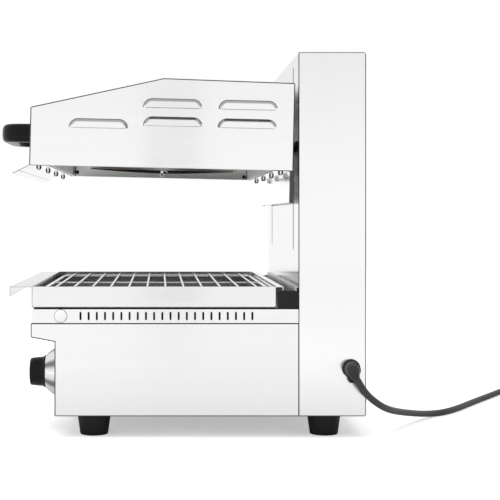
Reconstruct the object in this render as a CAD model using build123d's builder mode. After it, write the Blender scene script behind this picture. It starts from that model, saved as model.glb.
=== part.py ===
from build123d import *

import os
from math import cos, radians, sin, sqrt, tan

# A rise-and-fall electric grill, millimetres, +Z up. The front, with handle and knob, faces -Y.
# The origin lies on the floor under the middle of the machine, cord and plug left aside.

# ---------------------------------------------------------------- driving dimensions
width = 450.0                # over the side panels
half = width / 2
height = 500.2               # floor to the top of the column
steel = 1.2                  # folded stainless sheet
fold = 1.8                   # outer radius of a fold in it
gap = 0.3                    # air between pieces that move past each other

foot_height = 28.5
column_back_y = 250.0
column_depth = 87.5
column_front_y = column_back_y - column_depth
body_front_y = -186.5        # front face of the head, and nearly that of the tray and nose
panel_y = -153.7             # control panel, set back under the nose

base_top_z = 149.3
nose_front_y = -184.6
nose_lip_z = 130.5
nose_root_z = 124.7

band_front_y = -182.0
band_top_z = 167.0
slot_count = 22
slot_pitch = 10.6
slot_length = 10.8
slot_width = 2.6
slot_row_y = -8.6
slot_row_z = 158.3
plug_y = -145.6
plug_radius = 8.7

tray_front_y = -183.4
tray_back_y = 134.1
tray_top_z = 196.6
tray_lip_y = -212.1
tray_lip_drop = 12.6

head_depth = 342.5
head_front_height = 75.0
head_peak_depth = 172.0
head_peak_height = 116.0
head_back_height = 113.5
head_bottom_z = 354.5        # at its front edge, in the raised position of the photograph
head_tilt = 1.3              # degrees that the head stands nose-up on its arms
lift_down = 100.0
lift_up = 33.0

cord_diameter = 9.0

# ---------------------------------------------------------------- planes of the tilted head
tilt = radians(head_tilt)
head_origin = (0, body_front_y, head_bottom_z)
head_back_dir = (0, cos(tilt), -sin(tilt))
head_level = Plane(head_origin, x_dir=(1, 0, 0), z_dir=(0, sin(tilt), cos(tilt)))
head_side = Plane(head_origin, x_dir=head_back_dir, z_dir=(1, 0, 0))
head_face = Plane(head_origin, x_dir=(1, 0, 0), z_dir=(0, -cos(tilt), sin(tilt)))


def on_head(depth, rise):
    """Global (Y, Z) of a point given by its depth behind the head's front and its rise above the head's edge."""
    y = body_front_y + depth * cos(tilt) + rise * sin(tilt)
    z = head_bottom_z - depth * sin(tilt) + rise * cos(tilt)
    return y, z


# ---------------------------------------------------------------- base
with BuildPart() as base_housing:
    with BuildSketch(Plane.YZ.offset(-half)):
        with BuildLine():
            Polyline(
                (panel_y, foot_height),
                (column_front_y, foot_height),
                (column_front_y, base_top_z),
                (nose_front_y, base_top_z),
                (nose_front_y, nose_lip_z),
                (panel_y, nose_root_z),
                close=True,
            )
        make_face()
    extrude(amount=width)
    nose_edges = base_housing.edges().filter_by(Axis.X).sort_by(Axis.Y)[:2]
    side_folds = [
        edge
        for side in base_housing.faces().filter_by(Axis.X)
        for edge in side.edges()
        if edge.center().Y < column_front_y - 1 and edge.center().Z > foot_height + 1
    ]
    fillet(nose_edges + side_folds, radius=fold)
    with BuildSketch(Plane.YZ.offset(-half + steel)):
        with BuildLine():
            Polyline(
                (panel_y + steel, foot_height - 1),
                (column_front_y + 1, foot_height - 1),
                (column_front_y + 1, base_top_z - steel),
                (nose_front_y + steel, base_top_z - steel),
                (nose_front_y + steel, nose_lip_z + steel),
                (panel_y + steel, nose_root_z + steel),
                close=True,
            )
        make_face()
    extrude(amount=width - 2 * steel, mode=Mode.SUBTRACT)
    flange = 14.0
    with BuildSketch(Plane.XY.offset(base_top_z - 2 * steel)):
        with Locations((0, (nose_front_y + column_front_y) / 2 + flange)):
            Rectangle(width - 2 * flange, column_front_y - nose_front_y)
    extrude(amount=4 * steel, mode=Mode.SUBTRACT)
    knob_x = 143.5
    knob_z = 77.0
    lamp_x = 84.0
    with BuildSketch(Plane.XZ.offset(-panel_y + 1)):
        with Locations((knob_x, knob_z)):
            Circle(5.6)
        with Locations((lamp_x, knob_z)):
            Circle(6.1)
    extrude(amount=-4 * steel, mode=Mode.SUBTRACT)
base_housing.part.label = "base_housing"

pan_thickness = 1.5
pan_side = half - steel - gap
foot_x = 188.0
foot_front_y = -104.0
foot_rear_y = 199.8
foot_places = [
    (-foot_x, foot_front_y),
    (foot_x, foot_front_y),
    (-foot_x, foot_rear_y),
    (foot_x, foot_rear_y),
]
with BuildPart() as base_pan:
    pan_front_y = panel_y + steel + gap
    pan_back_y = column_back_y - 2 * steel - gap
    with BuildSketch(Plane.XY.offset(foot_height)):
        with Locations((0, (pan_front_y + pan_back_y) / 2)):
            Rectangle(2 * pan_side, pan_back_y - pan_front_y)
    extrude(amount=pan_thickness)
    with BuildSketch(Plane.XY.offset(foot_height)):
        with Locations(*foot_places):
            Circle(3.2)
        with Locations((0, -60), (0, 90)):
            with GridLocations(9.0, 0, 12, 1):
                Rectangle(3.0, 40.0)
    extrude(amount=pan_thickness, mode=Mode.SUBTRACT)
base_pan.part.label = "base_pan"

with BuildPart() as vent_band:
    band_depth = column_front_y - band_front_y
    band_mid_y = (column_front_y + band_front_y) / 2
    band_side = half - 0.6
    with BuildSketch(Plane.XY.offset(base_top_z)):
        with Locations((0, band_mid_y)):
            Rectangle(2 * band_side, band_depth)
    extrude(amount=band_top_z - base_top_z)
    fillet(vent_band.edges().filter_by(Axis.Z).sort_by(Axis.Y)[:2], radius=2.0)
    with BuildSketch(Plane.XY.offset(base_top_z - 1)):
        with Locations((0, band_mid_y)):
            Rectangle(2 * (band_side - steel), band_depth - 2 * steel)
    extrude(amount=band_top_z - base_top_z + 1 - steel, mode=Mode.SUBTRACT)
    with BuildSketch(Plane.XY.offset(band_top_z - 2 * steel)):
        with Locations((0, band_mid_y)):
            Rectangle(2 * (band_side - flange), band_depth - 2 * flange)
    extrude(amount=4 * steel, mode=Mode.SUBTRACT)
    with BuildSketch(Plane.YZ.offset(-half - 1)):
        with Locations((slot_row_y, slot_row_z)):
            with GridLocations(slot_pitch, 0, slot_count, 1):
                SlotOverall(slot_length, slot_width, rotation=90)
        with Locations((plug_y, slot_row_z)):
            Circle(plug_radius - 2)
    extrude(amount=width + 2, mode=Mode.SUBTRACT)
vent_band.part.label = "vent_band"

with BuildPart() as hole_plugs:
    with BuildSketch(Plane.YZ.offset(band_side - steel - 2)):
        with Locations((plug_y, slot_row_z)):
            Circle(plug_radius - 2.1)
    extrude(amount=steel + 2)
    with BuildSketch(Plane.YZ.offset(band_side)):
        with Locations((plug_y, slot_row_z)):
            Circle(plug_radius)
    extrude(amount=1.6)
    fillet(hole_plugs.faces().sort_by(Axis.X)[-1].edges(), radius=1.2)
    mirror(about=Plane.YZ)
hole_plugs.part.label = "hole_plugs"

deck_thickness = 1.5
deck_top_z = band_top_z + deck_thickness
lip_top_z = 173.0
cheek_top_z = 190.7
with BuildPart() as deck_plate:
    with BuildSketch(Plane.YZ.offset(-half + 1)):
        with BuildLine():
            Polyline(
                (band_front_y + 1, band_top_z),
                (column_front_y - gap, band_top_z),
                (column_front_y - gap, lip_top_z),
                (column_front_y - gap - deck_thickness, lip_top_z),
                (column_front_y - gap - deck_thickness, deck_top_z),
                (band_front_y + 1, deck_top_z),
                close=True,
            )
        make_face()
    extrude(amount=width - 2)
    cheek_front_y = tray_back_y + 1.4
    cheek_back_y = column_front_y - gap
    with BuildSketch(Plane.YZ.offset(-half + 1)):
        with Locations(((cheek_front_y + cheek_back_y) / 2, (band_top_z + cheek_top_z) / 2)):
            Rectangle(cheek_back_y - cheek_front_y, cheek_top_z - band_top_z)
    extrude(amount=deck_thickness)
    with BuildSketch(Plane.YZ.offset(half - 1)):
        with Locations(((cheek_front_y + cheek_back_y) / 2, (band_top_z + cheek_top_z) / 2)):
            Rectangle(cheek_back_y - cheek_front_y, cheek_top_z - band_top_z)
    extrude(amount=-deck_thickness)
deck_plate.part.label = "deck_plate"

strip_top_z = 196.0
strip_bottom_z = 183.0
with BuildPart() as rear_trim_strip:
    strip_front_y = column_front_y - 3.4
    strip_half = half - 1 - deck_thickness - gap
    with BuildSketch(Plane.YZ.offset(-strip_half)):
        with BuildLine():
            Polyline(
                (strip_front_y, strip_bottom_z),
                (strip_front_y, strip_top_z),
                (column_front_y, strip_top_z),
                (column_front_y, strip_top_z - steel),
                (strip_front_y + steel, strip_top_z - steel),
                (strip_front_y + steel, strip_bottom_z),
                close=True,
            )
        make_face()
    extrude(amount=2 * strip_half)
    fillet(rear_trim_strip.edges().filter_by(Axis.X).sort_by(Axis.Z)[-1], radius=0.5)
rear_trim_strip.part.label = "rear_trim_strip"

# ---------------------------------------------------------------- column
arm_x = 160.0
arm_thickness = 2.5
arm_slot_width = 7.0
arm_slot_bottom_z = 242.0
arm_slot_top_z = 488.0
gland_y = 230.4
gland_z = 90.8
cover_screw_x = 216.0
cover_screw_rows = [48.0, 263.0, 484.0]
cover_screw_places = [(side * cover_screw_x, row) for side in (-1, 1) for row in cover_screw_rows]
with BuildPart() as column_housing:
    shell_back_y = column_back_y - steel
    shell_mid_y = (column_front_y + shell_back_y) / 2
    shell_depth = shell_back_y - column_front_y
    with BuildSketch(Plane.XY.offset(foot_height)):
        with Locations((0, shell_mid_y)):
            Rectangle(width, shell_depth)
    extrude(amount=height - foot_height)
    upright = column_housing.edges().filter_by(Axis.Z).sort_by(Axis.Y)[:2]
    top_front = column_housing.edges().filter_by(Axis.X).sort_by(Axis.Z)[-2:].sort_by(Axis.Y)[:1]
    top_sides = column_housing.edges().filter_by(Axis.Y).sort_by(Axis.Z)[-2:]
    fillet(upright + top_front + top_sides, radius=2.0)
    with BuildSketch(Plane.XY.offset(foot_height - 1)):
        with Locations((0, shell_mid_y)):
            Rectangle(width - 2 * steel, shell_depth - 2 * steel)
    extrude(amount=height - foot_height + 1 - steel, mode=Mode.SUBTRACT)
    return_flange = 13.0
    with BuildSketch(Plane.XZ.offset(-shell_back_y - 1)):
        with Locations((0, (foot_height + height) / 2 - return_flange)):
            Rectangle(width - 2 * return_flange, height - foot_height)
        with Locations(*cover_screw_places):
            Circle(2.1)
    extrude(amount=4 * steel, mode=Mode.SUBTRACT)
    slot_mid_z = (arm_slot_bottom_z + arm_slot_top_z) / 2
    with BuildSketch(Plane.XZ.offset(-column_front_y + 1)):
        with Locations((-arm_x, slot_mid_z), (arm_x, slot_mid_z)):
            SlotOverall(arm_slot_top_z - arm_slot_bottom_z, arm_slot_width, rotation=90)
        with Locations((60, 95)):
            Circle(14)
        with Locations((0, foot_height)):
            Rectangle(2 * pan_side + gap, 2 * (pan_thickness + gap))
    extrude(amount=-4 * steel, mode=Mode.SUBTRACT)
    with BuildSketch(Plane.YZ.offset(half - 2 * steel)):
        with Locations((gland_y, gland_z)):
            Circle(8.0)
    extrude(amount=4 * steel, mode=Mode.SUBTRACT)
column_housing.part.label = "column_housing"

with BuildPart() as column_rear_cover:
    cover_bottom_z = foot_height + 0.5
    cover_top_z = height - 0.8
    with BuildSketch(Plane.XZ.offset(-column_back_y)):
        with Locations((0, (cover_bottom_z + cover_top_z) / 2)):
            RectangleRounded(width - 1.2, cover_top_z - cover_bottom_z, 2.0)
    extrude(amount=steel)
    with BuildSketch(Plane.XZ.offset(-column_back_y - 1)):
        with Locations(*cover_screw_places):
            Circle(2.1)
        with Locations((0, 440), (0, 110)):
            with GridLocations(0, 9.0, 1, 5):
                SlotOverall(150.0, 3.0)
    extrude(amount=4 * steel, mode=Mode.SUBTRACT)
column_rear_cover.part.label = "column_rear_cover"

screw_head_height = 1.4
with BuildPart() as rear_cover_screws:
    with BuildSketch(Plane.XZ.offset(-column_back_y)):
        with Locations(*cover_screw_places):
            Circle(3.6)
    extrude(amount=-screw_head_height)
    chamfer(rear_cover_screws.edges().group_by(Axis.Y)[-1], length=0.8)
    with BuildSketch(Plane.XZ.offset(-column_back_y)):
        with Locations(*cover_screw_places):
            Circle(2.0)
    extrude(amount=6.0)
rear_cover_screws.part.label = "rear_cover_screws"

# ---------------------------------------------------------------- feet
foot_top_radius = 22.0
foot_base_radius = 18.5
stud_head_z = 12.0


def make_foot(x, y, name):
    """One tapered rubber foot at (x, y), turned about its own axis and bored for its screw."""
    profile_plane = Plane((x, y, 0), x_dir=(1, 0, 0), z_dir=(0, -1, 0))
    with BuildPart() as foot:
        with BuildSketch(profile_plane):
            with BuildLine():
                Polyline(
                    (8.0, 0),
                    (foot_base_radius - 1.5, 0),
                    (foot_base_radius, 1.5),
                    (foot_top_radius, foot_height - 2.0),
                    (foot_top_radius, foot_height),
                    (3.2, foot_height),
                    (3.2, stud_head_z),
                    (8.0, stud_head_z),
                    close=True,
                )
            make_face()
        revolve(axis=Axis((x, y, 0), (0, 0, 1)))
    foot.part.label = name
    return foot.part


foot_names = ["foot_front_left", "foot_front_right", "foot_rear_left", "foot_rear_right"]
feet = [make_foot(x, y, name) for (x, y), name in zip(foot_places, foot_names)]

with BuildPart() as foot_screws:
    with BuildSketch(Plane.XY.offset(stud_head_z - 4.5)):
        with Locations(*foot_places):
            Circle(5.5)
    extrude(amount=4.5)
    with BuildSketch(Plane.XY.offset(stud_head_z)):
        with Locations(*foot_places):
            Circle(3.0)
    extrude(amount=24.0)
    with BuildSketch(Plane.XY.offset(foot_height + pan_thickness)):
        with Locations(*foot_places):
            RegularPolygon(5.6, 6)
    extrude(amount=5.0)
foot_screws.part.label = "foot_screws"

# ---------------------------------------------------------------- lift: rods, brackets, pulleys
rod_x = 110.0
rod_y = 182.0
rod_radius = 7.0
rod_bottom_z = 58.0
rod_top_z = 488.0
bracket_low_z = 60.0
bracket_high_z = 484.0
bracket_thickness = 3.0
bracket_width = 270.0
weight_rod_x = 120.0
weight_y = 232.0
weight_rod_radius = 5.0
pulley_x = 60.0
pulley_z = 458.0
pulley_pitch_radius = 14.5
pulley_y = weight_y - pulley_pitch_radius
rope_radius = 1.25
axle_radius = 4.0


def make_rod(x, y, radius, name):
    """A plain ground rod between the two rod brackets, with chamfered ends."""
    with BuildPart() as rod:
        with BuildSketch(Plane.XY.offset(rod_bottom_z)):
            with Locations((x, y)):
                Circle(radius)
        extrude(amount=rod_top_z - rod_bottom_z)
        chamfer(rod.edges().group_by(Axis.Z)[0] + rod.edges().group_by(Axis.Z)[-1], length=0.8)
    rod.part.label = name
    return rod.part


guide_rod_left = make_rod(-rod_x, rod_y, rod_radius, "guide_rod_left")
guide_rod_right = make_rod(rod_x, rod_y, rod_radius, "guide_rod_right")
with BuildPart() as weight_guides:
    add(make_rod(-weight_rod_x, weight_y, weight_rod_radius, "weight_rod"))
    add(make_rod(weight_rod_x, weight_y, weight_rod_radius, "weight_rod"))
weight_guides.part.label = "weight_guides"


def make_rod_bracket(shelf_z, leg_z, name):
    """An angle across the column: a shelf bored for the four rods, and a leg against the front wall."""
    wall_y = column_front_y + steel
    shelf_depth = 244.0 - wall_y
    with BuildPart() as bracket:
        with BuildSketch(Plane.XY.offset(shelf_z)):
            with Locations((0, wall_y + shelf_depth / 2)):
                Rectangle(bracket_width, shelf_depth)
            with Locations((-rod_x, rod_y), (rod_x, rod_y)):
                Circle(rod_radius + 0.05, mode=Mode.SUBTRACT)
            with Locations((-weight_rod_x, weight_y), (weight_rod_x, weight_y)):
                Circle(weight_rod_radius + 0.05, mode=Mode.SUBTRACT)
        extrude(amount=bracket_thickness)
        with BuildSketch(Plane.XY.offset(min(leg_z, shelf_z))):
            with Locations((0, wall_y + bracket_thickness / 2)):
                Rectangle(bracket_width, bracket_thickness)
        extrude(amount=abs(leg_z - shelf_z))
    bracket.part.label = name
    return bracket.part


rod_bracket_bottom = make_rod_bracket(bracket_low_z, 38.0, "rod_bracket_bottom")
rod_bracket_top = make_rod_bracket(bracket_high_z, height - steel, "rod_bracket_top")

ear_thickness = 2.5
ear_gap = 8.4
with BuildPart() as pulley_brackets:
    ear_sides = [
        side * pulley_x + face * (ear_gap + ear_thickness) / 2 for side in (-1, 1) for face in (-1, 1)
    ]
    for ear_x in ear_sides:
        with BuildSketch(Plane.YZ.offset(ear_x - ear_thickness / 2)):
            with Locations((pulley_y, (pulley_z - 8 + bracket_high_z) / 2)):
                Rectangle(20.0, bracket_high_z - pulley_z + 8)
            with Locations((pulley_y, pulley_z)):
                Circle(axle_radius + 0.05, mode=Mode.SUBTRACT)
        extrude(amount=ear_thickness)
    with BuildSketch(Plane.XY.offset(bracket_high_z - ear_thickness)):
        with Locations((-pulley_x, pulley_y), (pulley_x, pulley_y)):
            Rectangle(ear_gap + 2 * ear_thickness, 20.0)
    extrude(amount=ear_thickness)
pulley_brackets.part.label = "pulley_brackets"

with BuildPart() as pulley_axles:
    axle_length = ear_gap + 2 * ear_thickness + 4
    for x in (-pulley_x, pulley_x):
        with BuildSketch(Plane.YZ.offset(x - axle_length / 2)):
            with Locations((pulley_y, pulley_z)):
                Circle(axle_radius)
        extrude(amount=axle_length)
pulley_axles.part.label = "pulley_axles"

groove_radius = pulley_pitch_radius - rope_radius - 0.15
pulley_radius = pulley_pitch_radius + 3.0
pulley_half = 4.0


def make_pulley(x, name):
    """A grooved wheel for the wire rope, turned about the X axis through its axle."""
    turning_plane = Plane((x, pulley_y, pulley_z), x_dir=(0, 0, 1), z_dir=(0, 1, 0))
    with BuildPart() as pulley:
        with BuildSketch(turning_plane):
            with BuildLine():
                Polyline(
                    (axle_radius + 0.05, -pulley_half),
                    (pulley_radius, -pulley_half),
                    (pulley_radius, -pulley_half + 1.0),
                    (groove_radius, -rope_radius - 0.3),
                    (groove_radius, rope_radius + 0.3),
                    (pulley_radius, pulley_half - 1.0),
                    (pulley_radius, pulley_half),
                    (axle_radius + 0.05, pulley_half),
                    close=True,
                )
            make_face()
        revolve(axis=Axis((x, pulley_y, pulley_z), (1, 0, 0)))
    pulley.part.label = name
    return pulley.part


pulley_left = make_pulley(-pulley_x, "pulley_left")
pulley_right = make_pulley(pulley_x, "pulley_right")

with BuildPart() as rope_wraps:
    for x in (-pulley_x, pulley_x):
        with BuildSketch(Plane.XY.offset(pulley_z)):
            with Locations((x, pulley_y + pulley_pitch_radius)):
                Circle(rope_radius)
        revolve(axis=Axis((x, pulley_y, pulley_z), (1, 0, 0)), revolution_arc=180)
rope_wraps.part.label = "rope_wraps"

# ---------------------------------------------------------------- carriage, on the head's side of the ropes
carriage_bottom_z = 352.0
carriage_top_z = 440.0
carriage_y = 196.0
carriage_thickness = 3.0
block_size = 28.0
bush_radius = 10.0
bush_clearance = 0.05
block_levels = [carriage_bottom_z, carriage_top_z - block_size]
block_places = [(side * rod_x, level) for side in (-1, 1) for level in block_levels]
anchor_z = 360.0
anchor_height = 22.0

with BuildPart() as carriage_plate:
    with BuildSketch(Plane.XZ.offset(-carriage_y)):
        with Locations((0, (carriage_bottom_z + carriage_top_z) / 2)):
            RectangleRounded(2 * (arm_x - arm_thickness / 2), carriage_top_z - carriage_bottom_z, 4.0)
            RectangleRounded(150.0, 40.0, 8.0, mode=Mode.SUBTRACT)
    extrude(amount=-carriage_thickness)
carriage_plate.part.label = "carriage_plate"

with BuildPart() as bush_blocks:
    for level in block_levels:
        with BuildSketch(Plane.XY.offset(level)):
            with Locations((-rod_x, carriage_y - block_size / 2), (rod_x, carriage_y - block_size / 2)):
                RectangleRounded(34.0, block_size, 3.0)
            with Locations((-rod_x, rod_y), (rod_x, rod_y)):
                Circle(bush_radius, mode=Mode.SUBTRACT)
        extrude(amount=block_size)
bush_blocks.part.label = "bush_blocks"

with BuildPart() as guide_bushes:
    for level in block_levels:
        with BuildSketch(Plane.XY.offset(level)):
            with Locations((-rod_x, rod_y), (rod_x, rod_y)):
                Circle(bush_radius)
                Circle(rod_radius + bush_clearance, mode=Mode.SUBTRACT)
        extrude(amount=block_size)
guide_bushes.part.label = "guide_bushes"

liner_top = 42.0
arm_nose_depth = 216.0
arm_foot_width = 14.0


def make_arm(side, name):
    """A lift arm: a plate from the carriage through the column's slot into the head, on a folded foot."""
    outer_x = side * arm_x - arm_thickness / 2
    rear_y = carriage_y + carriage_thickness
    nose = on_head(arm_nose_depth, liner_top)
    nose_top = on_head(arm_nose_depth + 12, liner_top + 44)
    heel = on_head(head_depth - 4, liner_top)
    with BuildPart() as arm:
        with BuildSketch(Plane.YZ.offset(outer_x)):
            with BuildLine():
                Polyline(
                    (rear_y, carriage_bottom_z),
                    (rear_y, carriage_top_z),
                    (nose_top[0] + 60, carriage_top_z),
                    nose_top,
                    nose,
                    heel,
                    (column_front_y - 2, heel[1]),
                    (column_front_y + 6, carriage_bottom_z),
                    close=True,
                )
            make_face()
        extrude(amount=arm_thickness)
        with BuildSketch(head_level.offset(liner_top)):
            foot_mid_x = side * (arm_x - arm_foot_width / 2)
            with Locations((foot_mid_x, (arm_nose_depth + head_depth - 14) / 2)):
                Rectangle(arm_foot_width, head_depth - 14 - arm_nose_depth)
        extrude(amount=arm_thickness)
    arm.part.label = name
    return arm.part


lift_arm_left = make_arm(-1, "lift_arm_left")
lift_arm_right = make_arm(1, "lift_arm_right")

rope_front_y = pulley_y - pulley_pitch_radius
with BuildPart() as rope_anchors:
    with BuildSketch(Plane.XY.offset(anchor_z)):
        with Locations((-pulley_x, rope_front_y), (pulley_x, rope_front_y)):
            Rectangle(12.0, 8.0)
            Circle(rope_radius, mode=Mode.SUBTRACT)
    extrude(amount=anchor_height)
rope_anchors.part.label = "rope_anchors"

with BuildPart() as rope_head_spans:
    with BuildSketch(Plane.XY.offset(anchor_z)):
        with Locations((-pulley_x, rope_front_y), (pulley_x, rope_front_y)):
            Circle(rope_radius)
    extrude(amount=pulley_z - anchor_z)
rope_head_spans.part.label = "rope_head_spans"

# ---------------------------------------------------------------- counterweight
weight_top_z = 326.0
weight_height = 150.0
weight_thickness = 22.0
eye_height = 12.0
with BuildPart() as counterweight:
    with BuildSketch(Plane.XY.offset(weight_top_z - weight_height)):
        with Locations((0, weight_y)):
            Rectangle(276.0, weight_thickness)
        with Locations((-weight_rod_x, weight_y), (weight_rod_x, weight_y)):
            Circle(weight_rod_radius + 0.08, mode=Mode.SUBTRACT)
    extrude(amount=weight_height)
    chamfer(counterweight.edges().filter_by(Axis.X), length=1.5)
    with BuildSketch(Plane.XY.offset(weight_top_z)):
        with Locations((-pulley_x, weight_y), (pulley_x, weight_y)):
            Circle(6.0)
            Circle(rope_radius, mode=Mode.SUBTRACT)
    extrude(amount=eye_height)
counterweight.part.label = "counterweight"

with BuildPart() as rope_weight_spans:
    with BuildSketch(Plane.XY.offset(weight_top_z)):
        with Locations((-pulley_x, weight_y), (pulley_x, weight_y)):
            Circle(rope_radius)
    extrude(amount=pulley_z - weight_top_z)
rope_weight_spans.part.label = "rope_weight_spans"

with BuildPart() as lift_buffers:
    lower_stop_z = carriage_bottom_z - lift_down
    upper_stop_z = carriage_top_z + lift_up
    for start, end in ((lower_stop_z - 14, lower_stop_z - gap), (upper_stop_z + gap, bracket_high_z)):
        with BuildSketch(Plane.XY.offset(start)):
            with Locations((-rod_x, rod_y), (rod_x, rod_y)):
                Circle(13.0)
                Circle(rod_radius, mode=Mode.SUBTRACT)
        extrude(amount=end - start)
lift_buffers.part.label = "lift_buffers"

# ---------------------------------------------------------------- head
louvre_reach = 4.5
louvre_length = 77.0
louvre_rise = 12.0
louvre_taper = 42.0
louvre_wall = 2.0
louvre_rows = [(88.7, 49.5), (185.0, 54.0), (184.2, 77.5), (281.5, 53.5), (282.2, 77.5)]
strip_depth = 28.5
handle_rise = 51.0
handle_reach = 58.6
handle_half = 66.0
with BuildPart() as louvre_outside:
    with BuildSketch():
        SlotOverall(louvre_length, 2 * louvre_rise)
    extrude(amount=louvre_reach, taper=louvre_taper)
    fillet(louvre_outside.edges().group_by(Axis.Z)[-1], radius=2.5)
    with Locations((0, -louvre_rise, 0)):
        Box(2 * louvre_length, 2 * louvre_rise, 4 * louvre_reach, mode=Mode.SUBTRACT)

with BuildPart() as louvre_inside:
    with BuildSketch():
        SlotOverall(louvre_length - 2 * louvre_wall, 2 * (louvre_rise - louvre_wall))
    extrude(amount=louvre_reach - steel, taper=louvre_taper)
    extrude(louvre_inside.faces().sort_by(Axis.Z)[0], amount=2 * steel)
    with Locations((0, -louvre_rise - 0.01, 0)):
        Box(2 * louvre_length, 2 * louvre_rise, 4 * louvre_reach, mode=Mode.SUBTRACT)

with BuildPart() as hood:
    with BuildSketch(head_side.offset(-half)):
        with BuildLine():
            Polyline(
                (0, 0),
                (head_depth, 0),
                (head_depth, head_back_height),
                (head_peak_depth, head_peak_height),
                (0, head_front_height),
                close=True,
            )
        make_face()
    extrude(amount=width)
    long_edges = hood.edges().filter_by(Axis.X).sort_by(Axis.Z)[-3:].sort_by(Axis.Y)
    side_folds = [edge for side in hood.faces().filter_by(Axis.X) for edge in side.edges().sort_by(Axis.Z)[1:]]
    fillet(long_edges[:1] + long_edges[-1:] + side_folds, radius=fold)
    with BuildSketch(head_side.offset(-half + steel)):
        with BuildLine():
            Polyline(
                (steel, -1),
                (head_depth - steel, -1),
                (head_depth - steel, head_back_height - steel),
                (head_peak_depth, head_peak_height - steel),
                (steel, head_front_height - steel),
                close=True,
            )
        make_face()
    extrude(amount=width - 2 * steel, mode=Mode.SUBTRACT)
    with BuildSketch(Plane.XZ.offset(-column_front_y)):
        with Locations((-arm_x, 420), (arm_x, 420)):
            Rectangle(arm_slot_width, 68.0)
    extrude(amount=24.0, mode=Mode.SUBTRACT)
    with BuildSketch(head_face.offset(1)):
        with Locations((-handle_half, handle_rise), (handle_half, handle_rise)):
            Circle(2.6)
    extrude(amount=-4 * steel, mode=Mode.SUBTRACT)
    for side in (-1, 1):
        louvre_plane = Plane(
            (side * half, body_front_y, head_bottom_z),
            x_dir=(0, side * cos(tilt), -side * sin(tilt)),
            z_dir=(side, 0, 0),
        )
        for depth, rise in louvre_rows:
            with Locations(louvre_plane.location * Location((side * depth, rise, 0))):
                add(louvre_outside.part)
                add(louvre_inside.part, mode=Mode.SUBTRACT)
hood.part.label = "hood"

with BuildPart() as head_liner:
    with BuildSketch(head_level.offset(0.1)):
        with Locations((0, head_depth / 2)):
            Rectangle(width - 2 * steel - 2 * gap, head_depth - 2 * steel - 2 * gap)
    extrude(amount=steel)
    cavity_half = 205.0
    cavity_mid = head_depth / 2
    cavity_depth = head_depth - 2 * strip_depth
    with BuildSketch(head_level.offset(0.1)):
        with Locations((0, cavity_mid)):
            RectangleRounded(2 * cavity_half + 2 * steel, cavity_depth + 2 * steel, 5.0)
    extrude(amount=liner_top - 0.1)
    with BuildSketch(head_level.offset(-1)):
        with Locations((0, cavity_mid)):
            RectangleRounded(2 * cavity_half, cavity_depth, 4.0)
    extrude(amount=liner_top + 1 - steel, mode=Mode.SUBTRACT)
    element_rise = 16.0
    element_radius = 4.0
    element_legs = [(62.0, 165.0), (186.0, 289.0)]
    leg_depths = [depth for pair in element_legs for depth in pair]
    with BuildSketch(head_side.offset(cavity_half - 5)):
        with Locations(*[(depth, element_rise) for depth in leg_depths]):
            Circle(element_radius + 0.1)
    extrude(amount=12.0, mode=Mode.SUBTRACT)
head_liner.part.label = "head_liner"

visor_sheet = 1.0
with BuildPart() as visor:
    with BuildSketch(head_side.offset(-half + 1)):
        with BuildLine():
            Polyline(
                (strip_depth - 3, 0),
                (0, 0),
                (-13.0, -7.2),
                (-21.0, -10.8),
                (-21.5, -11.8),
                (-13.4, -8.2),
                (-0.3, -visor_sheet),
                (strip_depth - 3, -visor_sheet),
                close=True,
            )
        make_face()
    extrude(amount=width - 2)
visor.part.label = "visor"

skirt_drop = 42.0
skirt_depth = 338.0
with BuildPart() as rear_skirt:
    with BuildSketch(head_side.offset(-half + 2)):
        with BuildLine():
            Polyline(
                (head_depth - strip_depth + 3, 0),
                (skirt_depth + visor_sheet, 0),
                (skirt_depth + visor_sheet, -skirt_drop),
                (skirt_depth, -skirt_drop),
                (skirt_depth, -visor_sheet),
                (head_depth - strip_depth + 3, -visor_sheet),
                close=True,
            )
        make_face()
    extrude(amount=width - 4)
    with BuildSketch(head_level.offset(-skirt_drop)):
        with Locations((-half + 2.5, skirt_depth + 3), (half - 2.5, skirt_depth + 3)):
            Rectangle(1.0, 6.0)
    extrude(amount=skirt_drop)
rear_skirt.part.label = "rear_skirt"

nut_front_depth = 11.1
nut_rear_depth = 327.6
nut_columns = [-205.0, -68.5, 68.5, 205.0]
nut_places = [(x, depth) for depth in (nut_front_depth, nut_rear_depth) for x in nut_columns]
with BuildPart() as acorn_nuts:
    with BuildSketch(head_level.offset(-visor_sheet)):
        with Locations(*nut_places):
            RegularPolygon(3.9, 6)
    extrude(amount=-2.4)
    with BuildSketch(head_level.offset(-visor_sheet - 2.4)):
        with Locations(*nut_places):
            Circle(3.2)
    extrude(amount=-2.6)
acorn_nuts.part.label = "acorn_nuts"


def make_element(front_leg, rear_leg, name):
    """One tubular heating element: two straight legs joined by a wide bend at the far side."""
    plane = head_level.offset(element_rise)
    bend_x = -148.0
    terminal_x = half - 12.0
    bend_radius = (rear_leg - front_leg) / 2
    mid_leg = (front_leg + rear_leg) / 2
    with BuildPart() as element:
        with BuildLine(plane) as route:
            Line((terminal_x, front_leg), (bend_x, front_leg))
            ThreePointArc((bend_x, front_leg), (bend_x - bend_radius, mid_leg), (bend_x, rear_leg))
            Line((bend_x, rear_leg), (terminal_x, rear_leg))
        with BuildSketch(Plane(origin=route.line @ 0, z_dir=route.line % 0)):
            Circle(element_radius)
        sweep()
    element.part.label = name
    return element.part


element_front = make_element(*element_legs[0], "element_front")
element_rear = make_element(*element_legs[1], "element_rear")

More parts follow.
